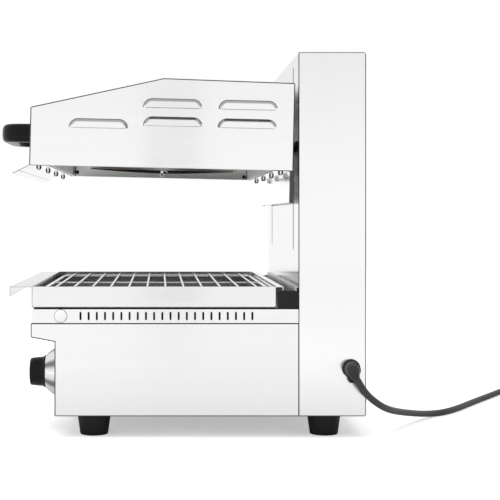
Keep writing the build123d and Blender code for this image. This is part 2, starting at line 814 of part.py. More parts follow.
with BuildPart() as element_clips:
    for depth in leg_depths:
        with BuildSketch(head_side.offset(-3)):
            with Locations((depth, element_rise)):
                Circle(element_radius + 1.6)
                Circle(element_radius + 0.1, mode=Mode.SUBTRACT)
        extrude(amount=6.0)
        with BuildSketch(head_side.offset(-3)):
            post_foot = element_rise + element_radius + 0.8
            with Locations((depth, (post_foot + liner_top - steel) / 2)):
                Rectangle(2.0, liner_top - steel - post_foot)
        extrude(amount=6.0)
    hook_depth = (element_legs[0][1] + element_legs[1][0]) / 2
    with BuildSketch(head_side.offset(-6)):
        with BuildLine():
            Polyline(
                (hook_depth - 0.6, liner_top - steel),
                (hook_depth + 0.6, liner_top - steel),
                (hook_depth + 0.6, 6.0),
                (hook_depth + 5.6, 2.4),
                (hook_depth + 5.0, 1.4),
                (hook_depth - 0.6, 5.0),
                close=True,
            )
        make_face()
    extrude(amount=12.0)
element_clips.part.label = "element_clips"

with BuildPart() as element_terminals:
    ceramic_start = cavity_half + steel
    with BuildSketch(head_side.offset(ceramic_start)):
        with Locations(*[(depth, element_rise) for depth in leg_depths]):
            Circle(6.5)
            Circle(element_radius + 0.05, mode=Mode.SUBTRACT)
    extrude(amount=5.0)
    with BuildSketch(head_side.offset(half - 12.0)):
        with Locations(*[(depth, element_rise) for depth in leg_depths]):
            Circle(2.0)
    extrude(amount=8.0)
element_terminals.part.label = "element_terminals"

grip_height = 26.5
grip_thickness = 19.0
grip_corner = 8.0
foot_flare = 20.0            # how far in front of the hood the handle's feet begin to widen
with BuildPart() as handle:
    grip_line = handle_reach - grip_thickness / 2
    with BuildLine(head_level.offset(handle_rise)) as bow:
        FilletPolyline(
            (-handle_half, -1.5),
            (-handle_half + 4, -grip_line),
            (handle_half - 4, -grip_line),
            (handle_half, -1.5),
            radius=24.0,
        )
    with BuildSketch(Plane(origin=bow.line @ 0, x_dir=(1, 0, 0), z_dir=bow.line % 0)):
        RectangleRounded(grip_thickness, grip_height, grip_corner)
    sweep()
    for side in (-1, 1):
        with BuildSketch(head_face.offset(0.2)):
            with Locations((side * handle_half, handle_rise - 2)):
                RectangleRounded(grip_thickness + 7, grip_height + 9, grip_corner + 2)
        with BuildSketch(head_face.offset(foot_flare)):
            with Locations((side * (handle_half - 1.5), handle_rise)):
                RectangleRounded(grip_thickness - 2, grip_height - 1.5, grip_corner - 0.5)
        loft()
    with BuildSketch(head_face):
        with Locations((-handle_half, handle_rise), (handle_half, handle_rise)):
            Circle(2.5)
    extrude(amount=14.0, mode=Mode.SUBTRACT)
handle.part.label = "handle"

with BuildPart() as handle_screws:
    with BuildSketch(head_face.offset(-steel)):
        with Locations((-handle_half, handle_rise), (handle_half, handle_rise)):
            Circle(2.4)
    extrude(amount=steel + 10.0)
    with BuildSketch(head_face.offset(-steel)):
        with Locations((-handle_half, handle_rise), (handle_half, handle_rise)):
            Circle(5.0)
    extrude(amount=-3.5)
handle_screws.part.label = "handle_screws"

# ---------------------------------------------------------------- controls
bezel_height = 17.7
panel_spot = (knob_x, panel_y, knob_z)
turning_plane = Plane(panel_spot, x_dir=(0, 0, 1), z_dir=(1, 0, 0))
knob_axis = Axis(panel_spot, (0, -1, 0))
with BuildPart() as control_bezel:
    with BuildSketch(turning_plane):
        with BuildLine():
            Polyline((34.0, 0), (34.0, 1.2))
            ThreePointArc((34.0, 1.2), (29.6, 10.4), (22.4, bezel_height))
            Polyline(
                (22.4, bezel_height), (13.0, bezel_height), (13.0, bezel_height - 3.0), (20.0, bezel_height - 3.0)
            )
            ThreePointArc((20.0, bezel_height - 3.0), (27.5, 7.4), (31.4, 0))
            Line((31.4, 0), (34.0, 0))
        make_face()
    revolve(axis=knob_axis)
control_bezel.part.label = "control_bezel"

spindle_radius = 3.0
knob_front = 40.0
with BuildPart() as control_knob:
    with BuildSketch(turning_plane):
        with BuildLine():
            Polyline(
                (0, knob_front),
                (spindle_radius, knob_front),
            )
            ThreePointArc((spindle_radius, knob_front), (10.0, knob_front - 0.2), (16.4, knob_front - 1.0))
            ThreePointArc((16.4, knob_front - 1.0), (17.9, knob_front - 1.8), (18.6, knob_front - 3.4))
            Polyline(
                (18.6, knob_front - 3.4),
                (20.0, bezel_height + 4.4),
                (22.0, bezel_height + 1.8),
                (22.0, bezel_height + gap),
                (0, bezel_height + gap),
                (0, knob_front),
            )
        make_face()
    revolve(axis=knob_axis)
    with BuildSketch(Plane.XZ.offset(-panel_y)):
        with Locations((knob_x, knob_z)):
            Circle(spindle_radius)
    extrude(amount=bezel_height + 14.0, mode=Mode.SUBTRACT)
    with BuildSketch(Plane.XZ.offset(-panel_y + knob_front - 0.8)):
        with Locations((knob_x, knob_z + 10.5)):
            Rectangle(2.0, 9.0)
    extrude(amount=2.0, mode=Mode.SUBTRACT)
control_knob.part.label = "control_knob"

regulator_depth = 32.0
with BuildPart() as energy_regulator:
    regulator_y = panel_y + steel
    with BuildSketch(Plane.XZ.offset(-regulator_y)):
        with Locations((knob_x, knob_z)):
            RectangleRounded(42.0, 42.0, 3.0)
    extrude(amount=-regulator_depth)
    with BuildSketch(Plane.XZ.offset(-regulator_y)):
        with Locations((knob_x, knob_z)):
            Circle(5.0)
    extrude(amount=steel + 6.0)
    with BuildSketch(Plane.XZ.offset(-panel_y)):
        with Locations((knob_x, knob_z)):
            RegularPolygon(8.0, 6)
    extrude(amount=3.0)
    with BuildSketch(Plane.XZ.offset(-regulator_y + 10)):
        with Locations((knob_x, knob_z)):
            Circle(spindle_radius + bush_clearance)
    extrude(amount=-28.0, mode=Mode.SUBTRACT)
    with BuildSketch(Plane.XZ.offset(-regulator_y - regulator_depth)):
        with Locations((knob_x, knob_z)):
            with GridLocations(10.0, 14.0, 3, 2):
                Rectangle(0.8, 6.3)
    extrude(amount=-8.0)
energy_regulator.part.label = "energy_regulator"

with BuildPart() as regulator_spindle:
    with BuildSketch(Plane.XZ.offset(-regulator_y - 16)):
        with Locations((knob_x, knob_z)):
            Circle(spindle_radius)
    extrude(amount=16 + regulator_y - panel_y + bezel_height + 14.0)
regulator_spindle.part.label = "regulator_spindle"

with BuildPart() as pilot_lamp:
    with BuildSketch(Plane.XZ.offset(-panel_y - steel)):
        with Locations((lamp_x, knob_z)):
            Circle(6.0)
    extrude(amount=steel)
    with BuildSketch(Plane.XZ.offset(-panel_y)):
        with Locations((lamp_x, knob_z)):
            Circle(8.0)
    extrude(amount=2.0)
    with BuildSketch(Plane.XZ.offset(-panel_y + 2)):
        with Locations((lamp_x, knob_z)):
            Circle(5.6)
    extrude(amount=3.0)
    fillet(pilot_lamp.faces().sort_by(Axis.Y)[0].edges(), radius=2.4)
    with BuildSketch(Plane.XZ.offset(-panel_y - steel)):
        with Locations((lamp_x, knob_z)):
            Circle(6.0)
    extrude(amount=-24.0)
pilot_lamp.part.label = "pilot_lamp"

# ---------------------------------------------------------------- wiring inside
terminal_x = 160.0
terminal_y = 204.0
terminal_pitch = 9.0
pan_top_z = foot_height + pan_thickness
with BuildPart() as terminal_block:
    with BuildSketch(Plane.XY.offset(pan_top_z)):
        with Locations((terminal_x, terminal_y)):
            RectangleRounded(4 * terminal_pitch + 3, 24.0, 2.0)
    extrude(amount=16.0)
    with BuildSketch(Plane.XY.offset(pan_top_z + 16)):
        with Locations((terminal_x, terminal_y)):
            with GridLocations(terminal_pitch, 0, 4, 1):
                Rectangle(terminal_pitch - 1.5, 16.0)
    extrude(amount=5.0)
terminal_block.part.label = "terminal_block"

wire_end_z = pan_top_z + 21.3
with BuildPart() as supply_tail:
    tail_x = terminal_x + terminal_pitch
    with BuildLine() as tail_route:
        FilletPolyline(
            (half - 9.0, gland_y, gland_z),
            (half - 32.0, gland_y, gland_z),
            (tail_x, terminal_y, gland_z - 8),
            (tail_x, terminal_y, wire_end_z),
            radius=[9.0, 9.0],
        )
    with BuildSketch(Plane(origin=tail_route.line @ 0, z_dir=tail_route.line % 0)):
        Circle(cord_diameter / 2 - 0.7)
    sweep()
supply_tail.part.label = "supply_tail"

with BuildPart() as regulator_leads:
    lead_start_y = regulator_y + regulator_depth + 8.3
    wall_run_y = 169.5
    for shift, drop in ((-terminal_pitch, -2.0), (0.0, 2.0)):
        lead_x = knob_x + shift - 0.5
        run_x = 64.5 + shift
        run_z = 95.0 + drop
        end_x = terminal_x - terminal_pitch / 2 + shift
        with BuildLine() as lead_route:
            FilletPolyline(
                (lead_x, lead_start_y, knob_z + 7),
                (lead_x, lead_start_y + 40, knob_z + 7),
                (run_x, 60, run_z),
                (run_x, wall_run_y, run_z),
                (end_x, wall_run_y, run_z),
                (end_x, terminal_y, run_z),
                (end_x, terminal_y, wire_end_z),
                radius=[18.0, 18.0, 4.5, 4.5, 8.0],
            )
        with BuildSketch(Plane(origin=lead_route.line @ 0, z_dir=lead_route.line % 0)):
            Circle(1.6)
        sweep()
regulator_leads.part.label = "regulator_leads"

# ---------------------------------------------------------------- cord
cord_radius = cord_diameter / 2
cord_route = [
    (252.0, 232.8, 81.5),
    (249.3, 241.1, 67.1),
    (241.7, 253.3, 53.5),
    (217.3, 276.4, 36.9),
    (142.5, 312.4, 20.7),
    (55.2, 366.4, 4.6),
    (27.4, 404.2, 4.6),
    (-74.0, 465.9, 4.6),
    (-138.0, 507.0, 4.6),
    (-196.0, 542.0, 4.6),
    (-226.0, 596.0, 4.6),
]


def bend_radii(points):
    """The radius of each arc of the route: 0.45 of its shorter run over the tangent of half its turn."""
    spots = [Vector(*point) for point in points]
    runs = [end - start for start, end in zip(spots, spots[1:])]
    return [
        0.45 * min(before.length, after.length) / tan(radians(before.get_angle(after)) / 2)
        for before, after in zip(runs, runs[1:])
    ]


cord_radii = bend_radii(cord_route)
print("cord radii", [round(radius) for radius in cord_radii])
with BuildPart() as power_cord:
    with BuildLine() as cord_line:
        FilletPolyline(*cord_route, radius=cord_radii)
    with BuildSketch(Plane(origin=cord_line.line @ 0, z_dir=cord_line.line % 0)):
        Circle(cord_radius)
    sweep()
power_cord.part.label = "power_cord"
cord_section = 3.14159265 * cord_radius**2
cord_length = cord_line.wires()[0].length
print("cord length", round(cord_length), "volume ratio", round(power_cord.part.volume / cord_length / cord_section, 4))

# The rest of the cord, wound: two turns inwards on the floor, a climb of half a turn, two turns outwards.
coil_inner = 38.0
coil_pitch = 9.6
coil_turns = 2
coil_heading = Vector(*cord_route[-1]) - Vector(*cord_route[-2])
coil_ahead = coil_heading.normalized()
coil_right = Vector(coil_ahead.Y, -coil_ahead.X, 0)
coil_outer = coil_inner + coil_turns * coil_pitch
coil_start = Vector(*cord_route[-1])
coil_centre = coil_start + coil_ahead * cord_diameter + coil_right * coil_outer


def coil_point(turn):
    """Point of the winding after a number of turns, clockwise from where the straight cord meets it."""
    climb_end = coil_turns + 0.5
    if turn < coil_turns:
        radius = coil_outer - coil_pitch * turn
        rise = 0.0
    elif turn < climb_end:
        share = (turn - coil_turns) / 0.5
        radius = coil_inner - coil_pitch / 2 * sin(radians(180 * share)) / radians(180)
        rise = coil_pitch * share * share * (3 - 2 * share)
    else:
        radius = coil_inner + coil_pitch * (turn - climb_end)
        rise = coil_pitch
    angle = radians(360.0 * turn)
    flat = coil_centre - coil_right * (radius * cos(angle)) + coil_ahead * (radius * sin(angle))
    return Vector(flat.X, flat.Y, coil_start.Z + rise)


def coil_tangent(turn):
    """Direction of the winding, from two points close together."""
    step = 0.001
    return (coil_point(turn + step) - coil_point(turn - step)).normalized()


def arc_middle(start, corner, end):
    """Middle of the arc that runs from start to end and touches the lines to their common corner."""
    chord_middle = (start + end) * 0.5
    height_to_corner = (corner - chord_middle).length
    if height_to_corner < 1e-6:
        return chord_middle
    half_chord = (end - start).length / 2
    slope = height_to_corner / half_chord
    sagitta = half_chord * (sqrt(1 + slope * slope) - 1) / slope
    return chord_middle + (corner - chord_middle).normalized() * sagitta


def biarc(start, start_dir, end, end_dir):
    """Two arcs that leave start along start_dir and reach end along end_dir: their three-point forms."""
    chord = end - start
    both = start_dir + end_dir
    spread = 2 * (1 - start_dir.dot(end_dir))
    along = chord.dot(both)
    reach = (sqrt(along * along + 2 * spread * chord.dot(chord) / 2) - along) / spread
    first_corner = start + start_dir * reach
    second_corner = end - end_dir * reach
    joint = (first_corner + second_corner) * 0.5
    return (
        (start, arc_middle(start, first_corner, joint), joint),
        (joint, arc_middle(joint, second_corner, end), end),
    )


coil_steps = int(4 * (2 * coil_turns + 0.5))
coil_knots = [coil_point(step / 4) for step in range(coil_steps + 1)]
coil_dirs = [coil_tangent(step / 4) for step in range(coil_steps + 1)]
coil_dirs[0] = coil_ahead
coil_dirs[-1] = coil_ahead * -1
with BuildPart() as cord_coil:
    with BuildLine() as coil_line:
        Line(coil_start, coil_knots[0])
        for step in range(coil_steps):
            for arc in biarc(coil_knots[step], coil_dirs[step], coil_knots[step + 1], coil_dirs[step + 1]):
                ThreePointArc(*arc)
        Line(coil_knots[-1], coil_knots[-1] + coil_dirs[-1] * cord_diameter)
    with BuildSketch(Plane(origin=coil_line.line @ 0, z_dir=coil_line.line % 0)):
        Circle(cord_radius)
    sweep()
cord_coil.part.label = "cord_coil"
coil_length = coil_line.wires()[0].length
print("coil length", round(coil_length), "ratio", round(cord_coil.part.volume / coil_length / cord_section, 4))
coil_checks = [coil_point(step / 40) for step in range(coil_steps * 10 + 1)]
least_gap = min(
    (there - here).length - cord_diameter
    for index, here in enumerate(coil_checks)
    for there in coil_checks[index + 20:]
)
print("coil least gap to itself", round(least_gap, 2))

plug_start = coil_knots[-1] + coil_dirs[-1] * cord_diameter
plug_dir = coil_dirs[-1]
plug_plane = Plane(plug_start, x_dir=(-plug_dir.Y, plug_dir.X, 0), z_dir=plug_dir)
relief_length = 32.0
plug_body = 36.0
plug_width = 38.0
plug_height = 2 * plug_start.Z
with BuildPart() as mains_plug:
    with BuildSketch(plug_plane):
        Circle(cord_radius + 1.0)
    with BuildSketch(plug_plane.offset(relief_length)):
        Circle(8.5)
    loft()
    with BuildSketch(plug_plane.offset(relief_length)):
        RectangleRounded(24.0, 20.0, 9.0)
    with BuildSketch(plug_plane.offset(relief_length + 14)):
        RectangleRounded(plug_width, plug_height, 13.0)
    loft()
    with BuildSketch(plug_plane.offset(relief_length + 14)):
        RectangleRounded(plug_width, plug_height, 13.0)
    extrude(amount=plug_body - 14)
    with BuildSketch(plug_plane.offset(relief_length + plug_body)):
        with Locations((-9.5, 0), (9.5, 0)):
            Circle(2.4)
    extrude(amount=19.0)
mains_plug.part.label = "mains_plug"

exit_dir = (Vector(*cord_route[1]) - Vector(*cord_route[0])).normalized()
exit_point = Vector(*cord_route[0])
elbow_point = Vector(250.5, gland_y - 0.9, gland_z)
with BuildPart() as cable_gland:
    with BuildSketch(Plane.YZ.offset(half - steel - 6)):
        with Locations((gland_y, gland_z)):
            RegularPolygon(11.0, 6)
    extrude(amount=6.0)
    with BuildSketch(Plane.YZ.offset(half - steel)):
        with Locations((gland_y, gland_z)):
            Circle(7.8)
    extrude(amount=steel)
    with BuildSketch(Plane.YZ.offset(half)):
        with Locations((gland_y, gland_z)):
            Circle(11.9)
    extrude(amount=3.5)
    fillet(cable_gland.faces().sort_by(Axis.X)[-1].edges(), radius=1.2)
    with BuildSketch(Plane.YZ.offset(half + 3.4)):
        with Locations((gland_y, gland_z)):
            Circle(9.4)
    extrude(amount=elbow_point.X - half - 3.4 - 4.0)
    with Locations(elbow_point):
        Sphere(8.6)
    with BuildSketch(Plane(elbow_point, z_dir=exit_dir)):
        Circle(8.0)
    with BuildSketch(Plane(exit_point, z_dir=exit_dir)):
        Circle(cord_radius + 0.9)
    loft()
    with BuildSketch(Plane.XY.offset(gland_z - 7)):
        with Locations((half + 5.5, gland_y)):
            Rectangle(5.0, 14.0)
    with BuildSketch(Plane.XY.offset(gland_z - 18)):
        with Locations((half + 6.5, gland_y + 0.5)):
            Rectangle(3.0, 7.0)
    loft()
cable_gland.part.label = "cable_gland"

# ---------------------------------------------------------------- drip tray
tray_floor_z = deck_top_z + gap
tray_side = half - 0.6
with BuildPart() as drip_tray:
    tray_depth = tray_back_y - tray_front_y
    with BuildSketch(Plane.XY.offset(tray_floor_z)):
        with Locations((0, (tray_back_y + tray_front_y) / 2)):
            Rectangle(2 * tray_side, tray_depth)
    extrude(amount=tray_top_z - tray_floor_z)
    fillet(drip_tray.edges().filter_by(Axis.Z), radius=3.0)
    fillet(drip_tray.edges().group_by(Axis.Z)[0], radius=2.8)
    offset(amount=-steel, openings=drip_tray.faces().sort_by(Axis.Z)[-1])
    with BuildSketch(Plane.YZ.offset(-tray_side + 1)):
        with BuildLine():
            Polyline(
                (tray_front_y + steel, tray_top_z),
                (tray_front_y + steel, tray_top_z - steel),
                (tray_lip_y + steel, tray_top_z - steel),
                (tray_lip_y + steel, tray_top_z - tray_lip_drop),
                (tray_lip_y, tray_top_z - tray_lip_drop),
                (tray_lip_y, tray_top_z),
                close=True,
            )
        make_face()
    extrude(amount=2 * tray_side - 2)
drip_tray.part.label = "drip_tray"

# ---------------------------------------------------------------- wire rack
wire_radius = 1.5
frame_radius = 2.5
rack_side = 213.0
rack_front_y = -172.5
rack_back_y = 128.5
wire_count = 12
wire_pitch = 24.3
wire_mid_y = -21.8
wire_z = 193.2
frame_z = wire_z - wire_radius - frame_radius + 0.5
with BuildPart() as wire_rack:
    with BuildLine(Plane.XY.offset(frame_z)) as frame_line:
        FilletPolyline(
            (0, rack_front_y),
            (rack_side, rack_front_y),
            (rack_side, rack_back_y),
            (0, rack_back_y),
            radius=18.0,
        )
    with BuildSketch(Plane(origin=frame_line.line @ 0, z_dir=frame_line.line % 0)):
        Circle(frame_radius)
    sweep()
    mirror(about=Plane.YZ)
    with BuildSketch(Plane.YZ.offset(-rack_side)):
        with Locations((wire_mid_y, wire_z)):
            with GridLocations(wire_pitch, 0, wire_count, 1):
                Circle(wire_radius)
    extrude(amount=2 * rack_side)
    with BuildSketch(Plane.XZ.offset(-rack_front_y)):
        with Locations((0, frame_z)):
            Circle(2.0)
    extrude(amount=-(rack_back_y - rack_front_y))
wire_rack.part.label = "wire_rack"

leg_radius = 2.0
leg_places = [(x, y) for x in (-rack_side, rack_side) for y in (rack_front_y + 30, rack_back_y - 30)]
with BuildPart() as rack_legs:
    with BuildSketch(Plane.XY.offset(tray_floor_z + steel + gap)):
        with Locations(*leg_places):
            Circle(leg_radius)
    extrude(amount=frame_z - frame_radius + 0.6 - tray_floor_z - steel - gap)
rack_legs.part.label = "rack_legs"

# ---------------------------------------------------------------- parts written out
builders = [
    base_housing, base_pan, vent_band, hole_plugs, deck_plate, rear_trim_strip,
    column_housing, column_rear_cover, rear_cover_screws, foot_screws, weight_guides,
    pulley_brackets, pulley_axles, rope_wraps, carriage_plate, bush_blocks,
    guide_bushes, rope_anchors, rope_head_spans, counterweight, rope_weight_spans, lift_buffers,
    hood, head_liner, visor, rear_skirt, acorn_nuts, element_clips, element_terminals,
    handle, handle_screws, control_bezel, control_knob, energy_regulator, regulator_spindle,
    pilot_lamp, terminal_block, supply_tail, regulator_leads, cable_gland, power_cord,
    cord_coil, mains_plug, drip_tray, wire_rack, rack_legs,
]
made = [
    *feet, guide_rod_left, guide_rod_right, rod_bracket_bottom, rod_bracket_top, pulley_left, pulley_right,
    lift_arm_left, lift_arm_right, element_front, element_rear,
]
os.makedirs("parts", exist_ok=True)
for piece in [builder.part for builder in builders] + made:
    export_step(piece, f"parts/{piece.label}.step")
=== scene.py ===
"""Looks of a rise-and-fall grill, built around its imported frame. Metres, +Z up, the user stands at -Y."""
import logging
import math
from dataclasses import dataclass
from enum import Enum
from typing import Iterable, Sequence

import bmesh
import bpy
import numpy as np
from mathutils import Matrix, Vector


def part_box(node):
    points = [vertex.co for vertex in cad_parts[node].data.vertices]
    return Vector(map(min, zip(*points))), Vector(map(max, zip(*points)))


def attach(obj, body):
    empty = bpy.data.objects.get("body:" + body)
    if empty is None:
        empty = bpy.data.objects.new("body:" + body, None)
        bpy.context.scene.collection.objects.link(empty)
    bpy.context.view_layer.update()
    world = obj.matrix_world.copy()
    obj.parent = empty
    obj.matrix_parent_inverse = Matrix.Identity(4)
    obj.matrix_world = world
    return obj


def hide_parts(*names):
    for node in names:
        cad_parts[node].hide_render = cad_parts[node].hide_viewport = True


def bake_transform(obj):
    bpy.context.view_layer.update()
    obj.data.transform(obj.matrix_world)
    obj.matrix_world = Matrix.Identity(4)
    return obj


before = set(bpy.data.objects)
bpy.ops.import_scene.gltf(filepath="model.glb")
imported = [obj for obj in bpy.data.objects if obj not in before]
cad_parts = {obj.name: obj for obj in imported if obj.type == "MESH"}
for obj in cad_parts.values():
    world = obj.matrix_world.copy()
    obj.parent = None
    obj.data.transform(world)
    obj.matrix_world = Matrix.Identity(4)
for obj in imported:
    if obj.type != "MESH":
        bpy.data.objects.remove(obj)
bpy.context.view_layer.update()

LOG = logging.getLogger("grill")
MM = 0.001
GRAIN_MAP = "grain"
RAMP_ENDS = (0.25, 0.75)
# folds that get the painted edge shade: how far they reach in from a side, and the least part of their normal along X
FOLD_REACH = 0.0031
LEAST_LEAN = 0.1
# part of a unit normal along an axis from which a face counts as facing that way
FACING = 0.9
# frame meshes: corners this close are one, and faces this near to flat are one face
MERGE_GAP = 2e-6
FLAT_WITHIN = math.radians(0.6)
# edges that turn by more than this get their rounding
ROUNDED_ABOVE = math.radians(40)

Colour = tuple[float, float, float]
Point = tuple[float, float, float]
Pair = tuple[float, float]
Span = tuple[float, float, float, float]


# ---------------------------------------------------------------- surfaces from arrays
def quads(rows: int, cols: int, close_rows: bool, close_cols: bool) -> np.ndarray:
    """Four-sided faces of a grid of points that is numbered row by row.

    Args:
        rows: number of rows of points.
        cols: number of points in a row.
        close_rows: the last row joins the first.
        close_cols: the last point of a row joins its first.

    Returns:
        One line of four point numbers per face.
    """
    row, col = np.meshgrid(
        np.arange(rows if close_rows else rows - 1),
        np.arange(cols if close_cols else cols - 1),
        indexing="ij",
    )
    next_row, next_col = (row + 1) % rows, (col + 1) % cols
    corners = [row * cols + col, next_row * cols + col, next_row * cols + next_col, row * cols + next_col]
    return np.stack(corners, -1).reshape(-1, 4)


@dataclass
class Surface:
    """Points and faces of one or more closed shells, gathered before they become a mesh."""

    points: list[np.ndarray]
    faces: list[list[int]]

    @classmethod
    def empty(cls) -> "Surface":
        """A surface with nothing in it yet."""
        return cls([], [])

    def add_grid(self, grid: np.ndarray, close_rows: bool = False, caps: bool = True) -> "Surface":
        """Adds a tube-like grid whose columns go round and whose rows go along.

        Args:
            grid: points of shape (rows, columns, 3).
            close_rows: the tube is a ring.
            caps: the two open ends are closed with a face each.

        Returns:
            The surface itself.
        """
        rows, cols = grid.shape[:2]
        start = sum(len(part) for part in self.points)
        self.points.append(grid.reshape(-1, 3))
        self.faces += (quads(rows, cols, close_rows, True) + start).tolist()
        if caps and not close_rows:
            ring = np.arange(cols)
            self.faces.append((ring[::-1] + start).tolist())
            self.faces.append((ring + start + (rows - 1) * cols).tolist())
        return self

    def mesh(self, name: str) -> bpy.types.Mesh:
        """The gathered shells as one Blender mesh, with doubles merged and faces turned outwards.

        Args:
            name: name of the mesh.

        Returns:
            The mesh.
        """
        mesh = bpy.data.meshes.new(name)
        mesh.from_pydata(np.concatenate(self.points).tolist(), [], self.faces)
        work = bmesh.new()
        work.from_mesh(mesh)
        bmesh.ops.remove_doubles(work, verts=work.verts, dist=1e-6)
        bmesh.ops.dissolve_degenerate(work, edges=work.edges, dist=1e-7)
        bmesh.ops.recalc_face_normals(work, faces=work.faces)
        work.to_mesh(mesh)
        work.free()
        return mesh


def turned(profile: Sequence[Pair], origin: Point, axis: Point, sides: int = 64) -> np.ndarray:
    """A turned shape: each profile pair is (radius, distance along the axis), carried round the axis.

    Args:
        profile: pairs in metres, from one pole to the other.
        origin: point on the axis at distance 0.
        axis: direction of the axis.
        sides: points round the axis.

    Returns:
        Grid of points, one row per profile pair.
    """
    pairs = np.array(profile, float)
    along = np.array(axis, float) / np.linalg.norm(axis)
    helper = np.array((0, 0, 1.0)) if abs(along[2]) < FACING else np.array((1.0, 0, 0))
    across = np.cross(helper, along)
    across /= np.linalg.norm(across)
    other = np.cross(along, across)
    turn = np.linspace(0, 2 * np.pi, sides, endpoint=False)
    ring = np.cos(turn)[:, None] * across + np.sin(turn)[:, None] * other
    return np.array(origin) + pairs[:, None, :1] * ring[None] + pairs[:, None, 1:] * along


def rounded_path(corners: Sequence[Pair], radius: float, steps: int = 12, closed: bool = False) -> np.ndarray:
    """A flat path of straight runs whose corners are arcs of one radius, as points (n, 2).

    Args:
        corners: the corner points in order.
        radius: radius of each arc.
        steps: points on an arc.
        closed: the path returns to its start, and every corner is rounded.

    Returns:
        The points of the path.
    """
    spots = np.array(corners, float)
    inner = range(len(spots)) if closed else range(1, len(spots) - 1)
    pieces = [] if closed else [spots[:1]]
    for index in inner:
        here = spots[index]
        back = spots[index - 1] - here
        ahead = spots[(index + 1) % len(spots)] - here
        back, ahead = back / np.linalg.norm(back), ahead / np.linalg.norm(ahead)
        half = math.acos(float(np.clip(back @ ahead, -1, 1))) / 2
        middle = (back + ahead) / np.linalg.norm(back + ahead)
        centre = here + middle * radius / math.sin(half)
        first = here + back * radius / math.tan(half) - centre
        last = here + ahead * radius / math.tan(half) - centre
        share = np.linspace(0, 1, steps)[:, None]
        sweep = math.pi - 2 * half
        pieces.append(centre + (np.sin((1 - share) * sweep) * first + np.sin(share * sweep) * last) / math.sin(sweep))
    if not closed:
        pieces.append(spots[-1:])
    return np.concatenate(pieces)


def swept(
    path: np.ndarray, flat_normal: Point, widths: np.ndarray, section: np.ndarray, closed: bool = False
) -> np.ndarray:
    """A section carried along a flat path: path point + side * width * a + normal * height * b + normal * shift.

    Args:
        path: points (n, 3) in one plane.
        flat_normal: normal of that plane.
        widths: (n, 3): width factor, height factor and shift along the normal at each point.
        section: (m, 2) points of the section of unit size.
        closed: the path is a ring.

    Returns:
        Grid of points, one row per path point.
    """
    normal = np.array(flat_normal, float) / np.linalg.norm(flat_normal)
    if closed:
        tangent = np.roll(path, -1, 0) - np.roll(path, 1, 0)
    else:
        tangent = np.gradient(path, axis=0)
    tangent /= np.linalg.norm(tangent, axis=1, keepdims=True)
    side = np.cross(tangent, normal)
    across = side[:, None] * (section[None, :, :1] * widths[:, None, :1])
    upward = normal * (section[None, :, 1:] * widths[:, None, 1:2] + widths[:, None, 2:3])
    return path[:, None] + across + upward


def circle(sides: int = 20) -> np.ndarray:
    """Points (n, 2) of a circle of radius 1."""
    turn = np.linspace(0, 2 * np.pi, sides, endpoint=False)
    return np.stack([np.cos(turn), np.sin(turn)], 1)


def squircle(sides: int, power: float | np.ndarray) -> np.ndarray:
    """Points of a superellipse of half size 1: cosine and sine each raised to 2 / power, keeping their signs."""
    ring = circle(sides)
    return np.sign(ring) * np.abs(ring) ** (2 / power)


def round_rod(path: np.ndarray, radius: float, flat_normal: Point, closed: bool = False, sides: int = 20) -> np.ndarray:
    """A round rod of one radius along a flat path, as a grid of points."""
    widths = np.tile([radius, radius, 0.0], (len(path), 1))
    return swept(path, flat_normal, widths, circle(sides), closed)


def straight(section: np.ndarray, places: Sequence[float], axis: int) -> np.ndarray:
    """A section carried straight along an axis: its two coordinates stay, and the axis takes each place in turn.

    Args:
        section: (m, 2) points, on the two other axes in their order.
        places: where the rows stand on the axis.
        axis: 0, 1 or 2 for X, Y or Z.

    Returns:
        Grid of points, one row per place.
    """
    grid = np.empty((len(places), len(section), 3))
    grid[..., [other for other in range(3) if other != axis]] = section
    grid[..., axis] = np.array(places)[:, None]
    return grid


def lathed(name: str, profile: Sequence[Pair], feet: Sequence[Point], axis: Point, sides: int) -> bpy.types.Mesh:
    """A mesh with one closed turned shape on each foot, all about the same direction.

    Args:
        name: name of the mesh.
        profile: (radius, distance along the axis) pairs in metres.
        feet: the point of distance 0 for each shape.
        axis: direction of every axis.
        sides: points round an axis.

    Returns:
        The mesh.
    """
    shells = Surface.empty()
    for foot in feet:
        shells.add_grid(turned(profile, foot, axis, sides), caps=False)
    return shells.mesh(name)


# ---------------------------------------------------------------- grain and dressing of meshes
class Grain(Enum):
    """Which way a sheet was brushed: the axis that its lines follow on faces that look along X, Y and Z."""

    FOLDED = (1, 0, 0)
    UPRIGHT = (2, 2, 0)
    DEEP = (1, 0, 1)


def face_arrays(mesh: bpy.types.Mesh) -> tuple[np.ndarray, np.ndarray]:
    """Centres and normals of a mesh's faces, each of shape (n, 3).

    Args:
        mesh: the mesh to read.

    Returns:
        The centres and the normals.
    """
    centres, normals = (np.empty(len(mesh.polygons) * 3, np.float32) for _ in range(2))
    mesh.polygons.foreach_get("center", centres)
    mesh.polygons.foreach_get("normal", normals)
    return centres.reshape(-1, 3), normals.reshape(-1, 3)


def corner_places(mesh: bpy.types.Mesh) -> np.ndarray:
    """Place (n, 3) of every face corner of a mesh, in the order of its UV maps.

    Args:
        mesh: the mesh to read.

    Returns:
        The places, in metres.
    """
    corner = np.empty(len(mesh.loops), np.int32)
    mesh.loops.foreach_get("vertex_index", corner)
    spots = np.empty(len(mesh.vertices) * 3, np.float32)
    mesh.vertices.foreach_get("co", spots)
    return spots.reshape(-1, 3)[corner]


def write_map(mesh: bpy.types.Mesh, first: np.ndarray, second: np.ndarray) -> None:
    """Adds the grain map, with two coordinates for every face corner."""
    layer = mesh.uv_layers.new(name=GRAIN_MAP)
    layer.data.foreach_set("uv", np.stack([first, second], 1).ravel())


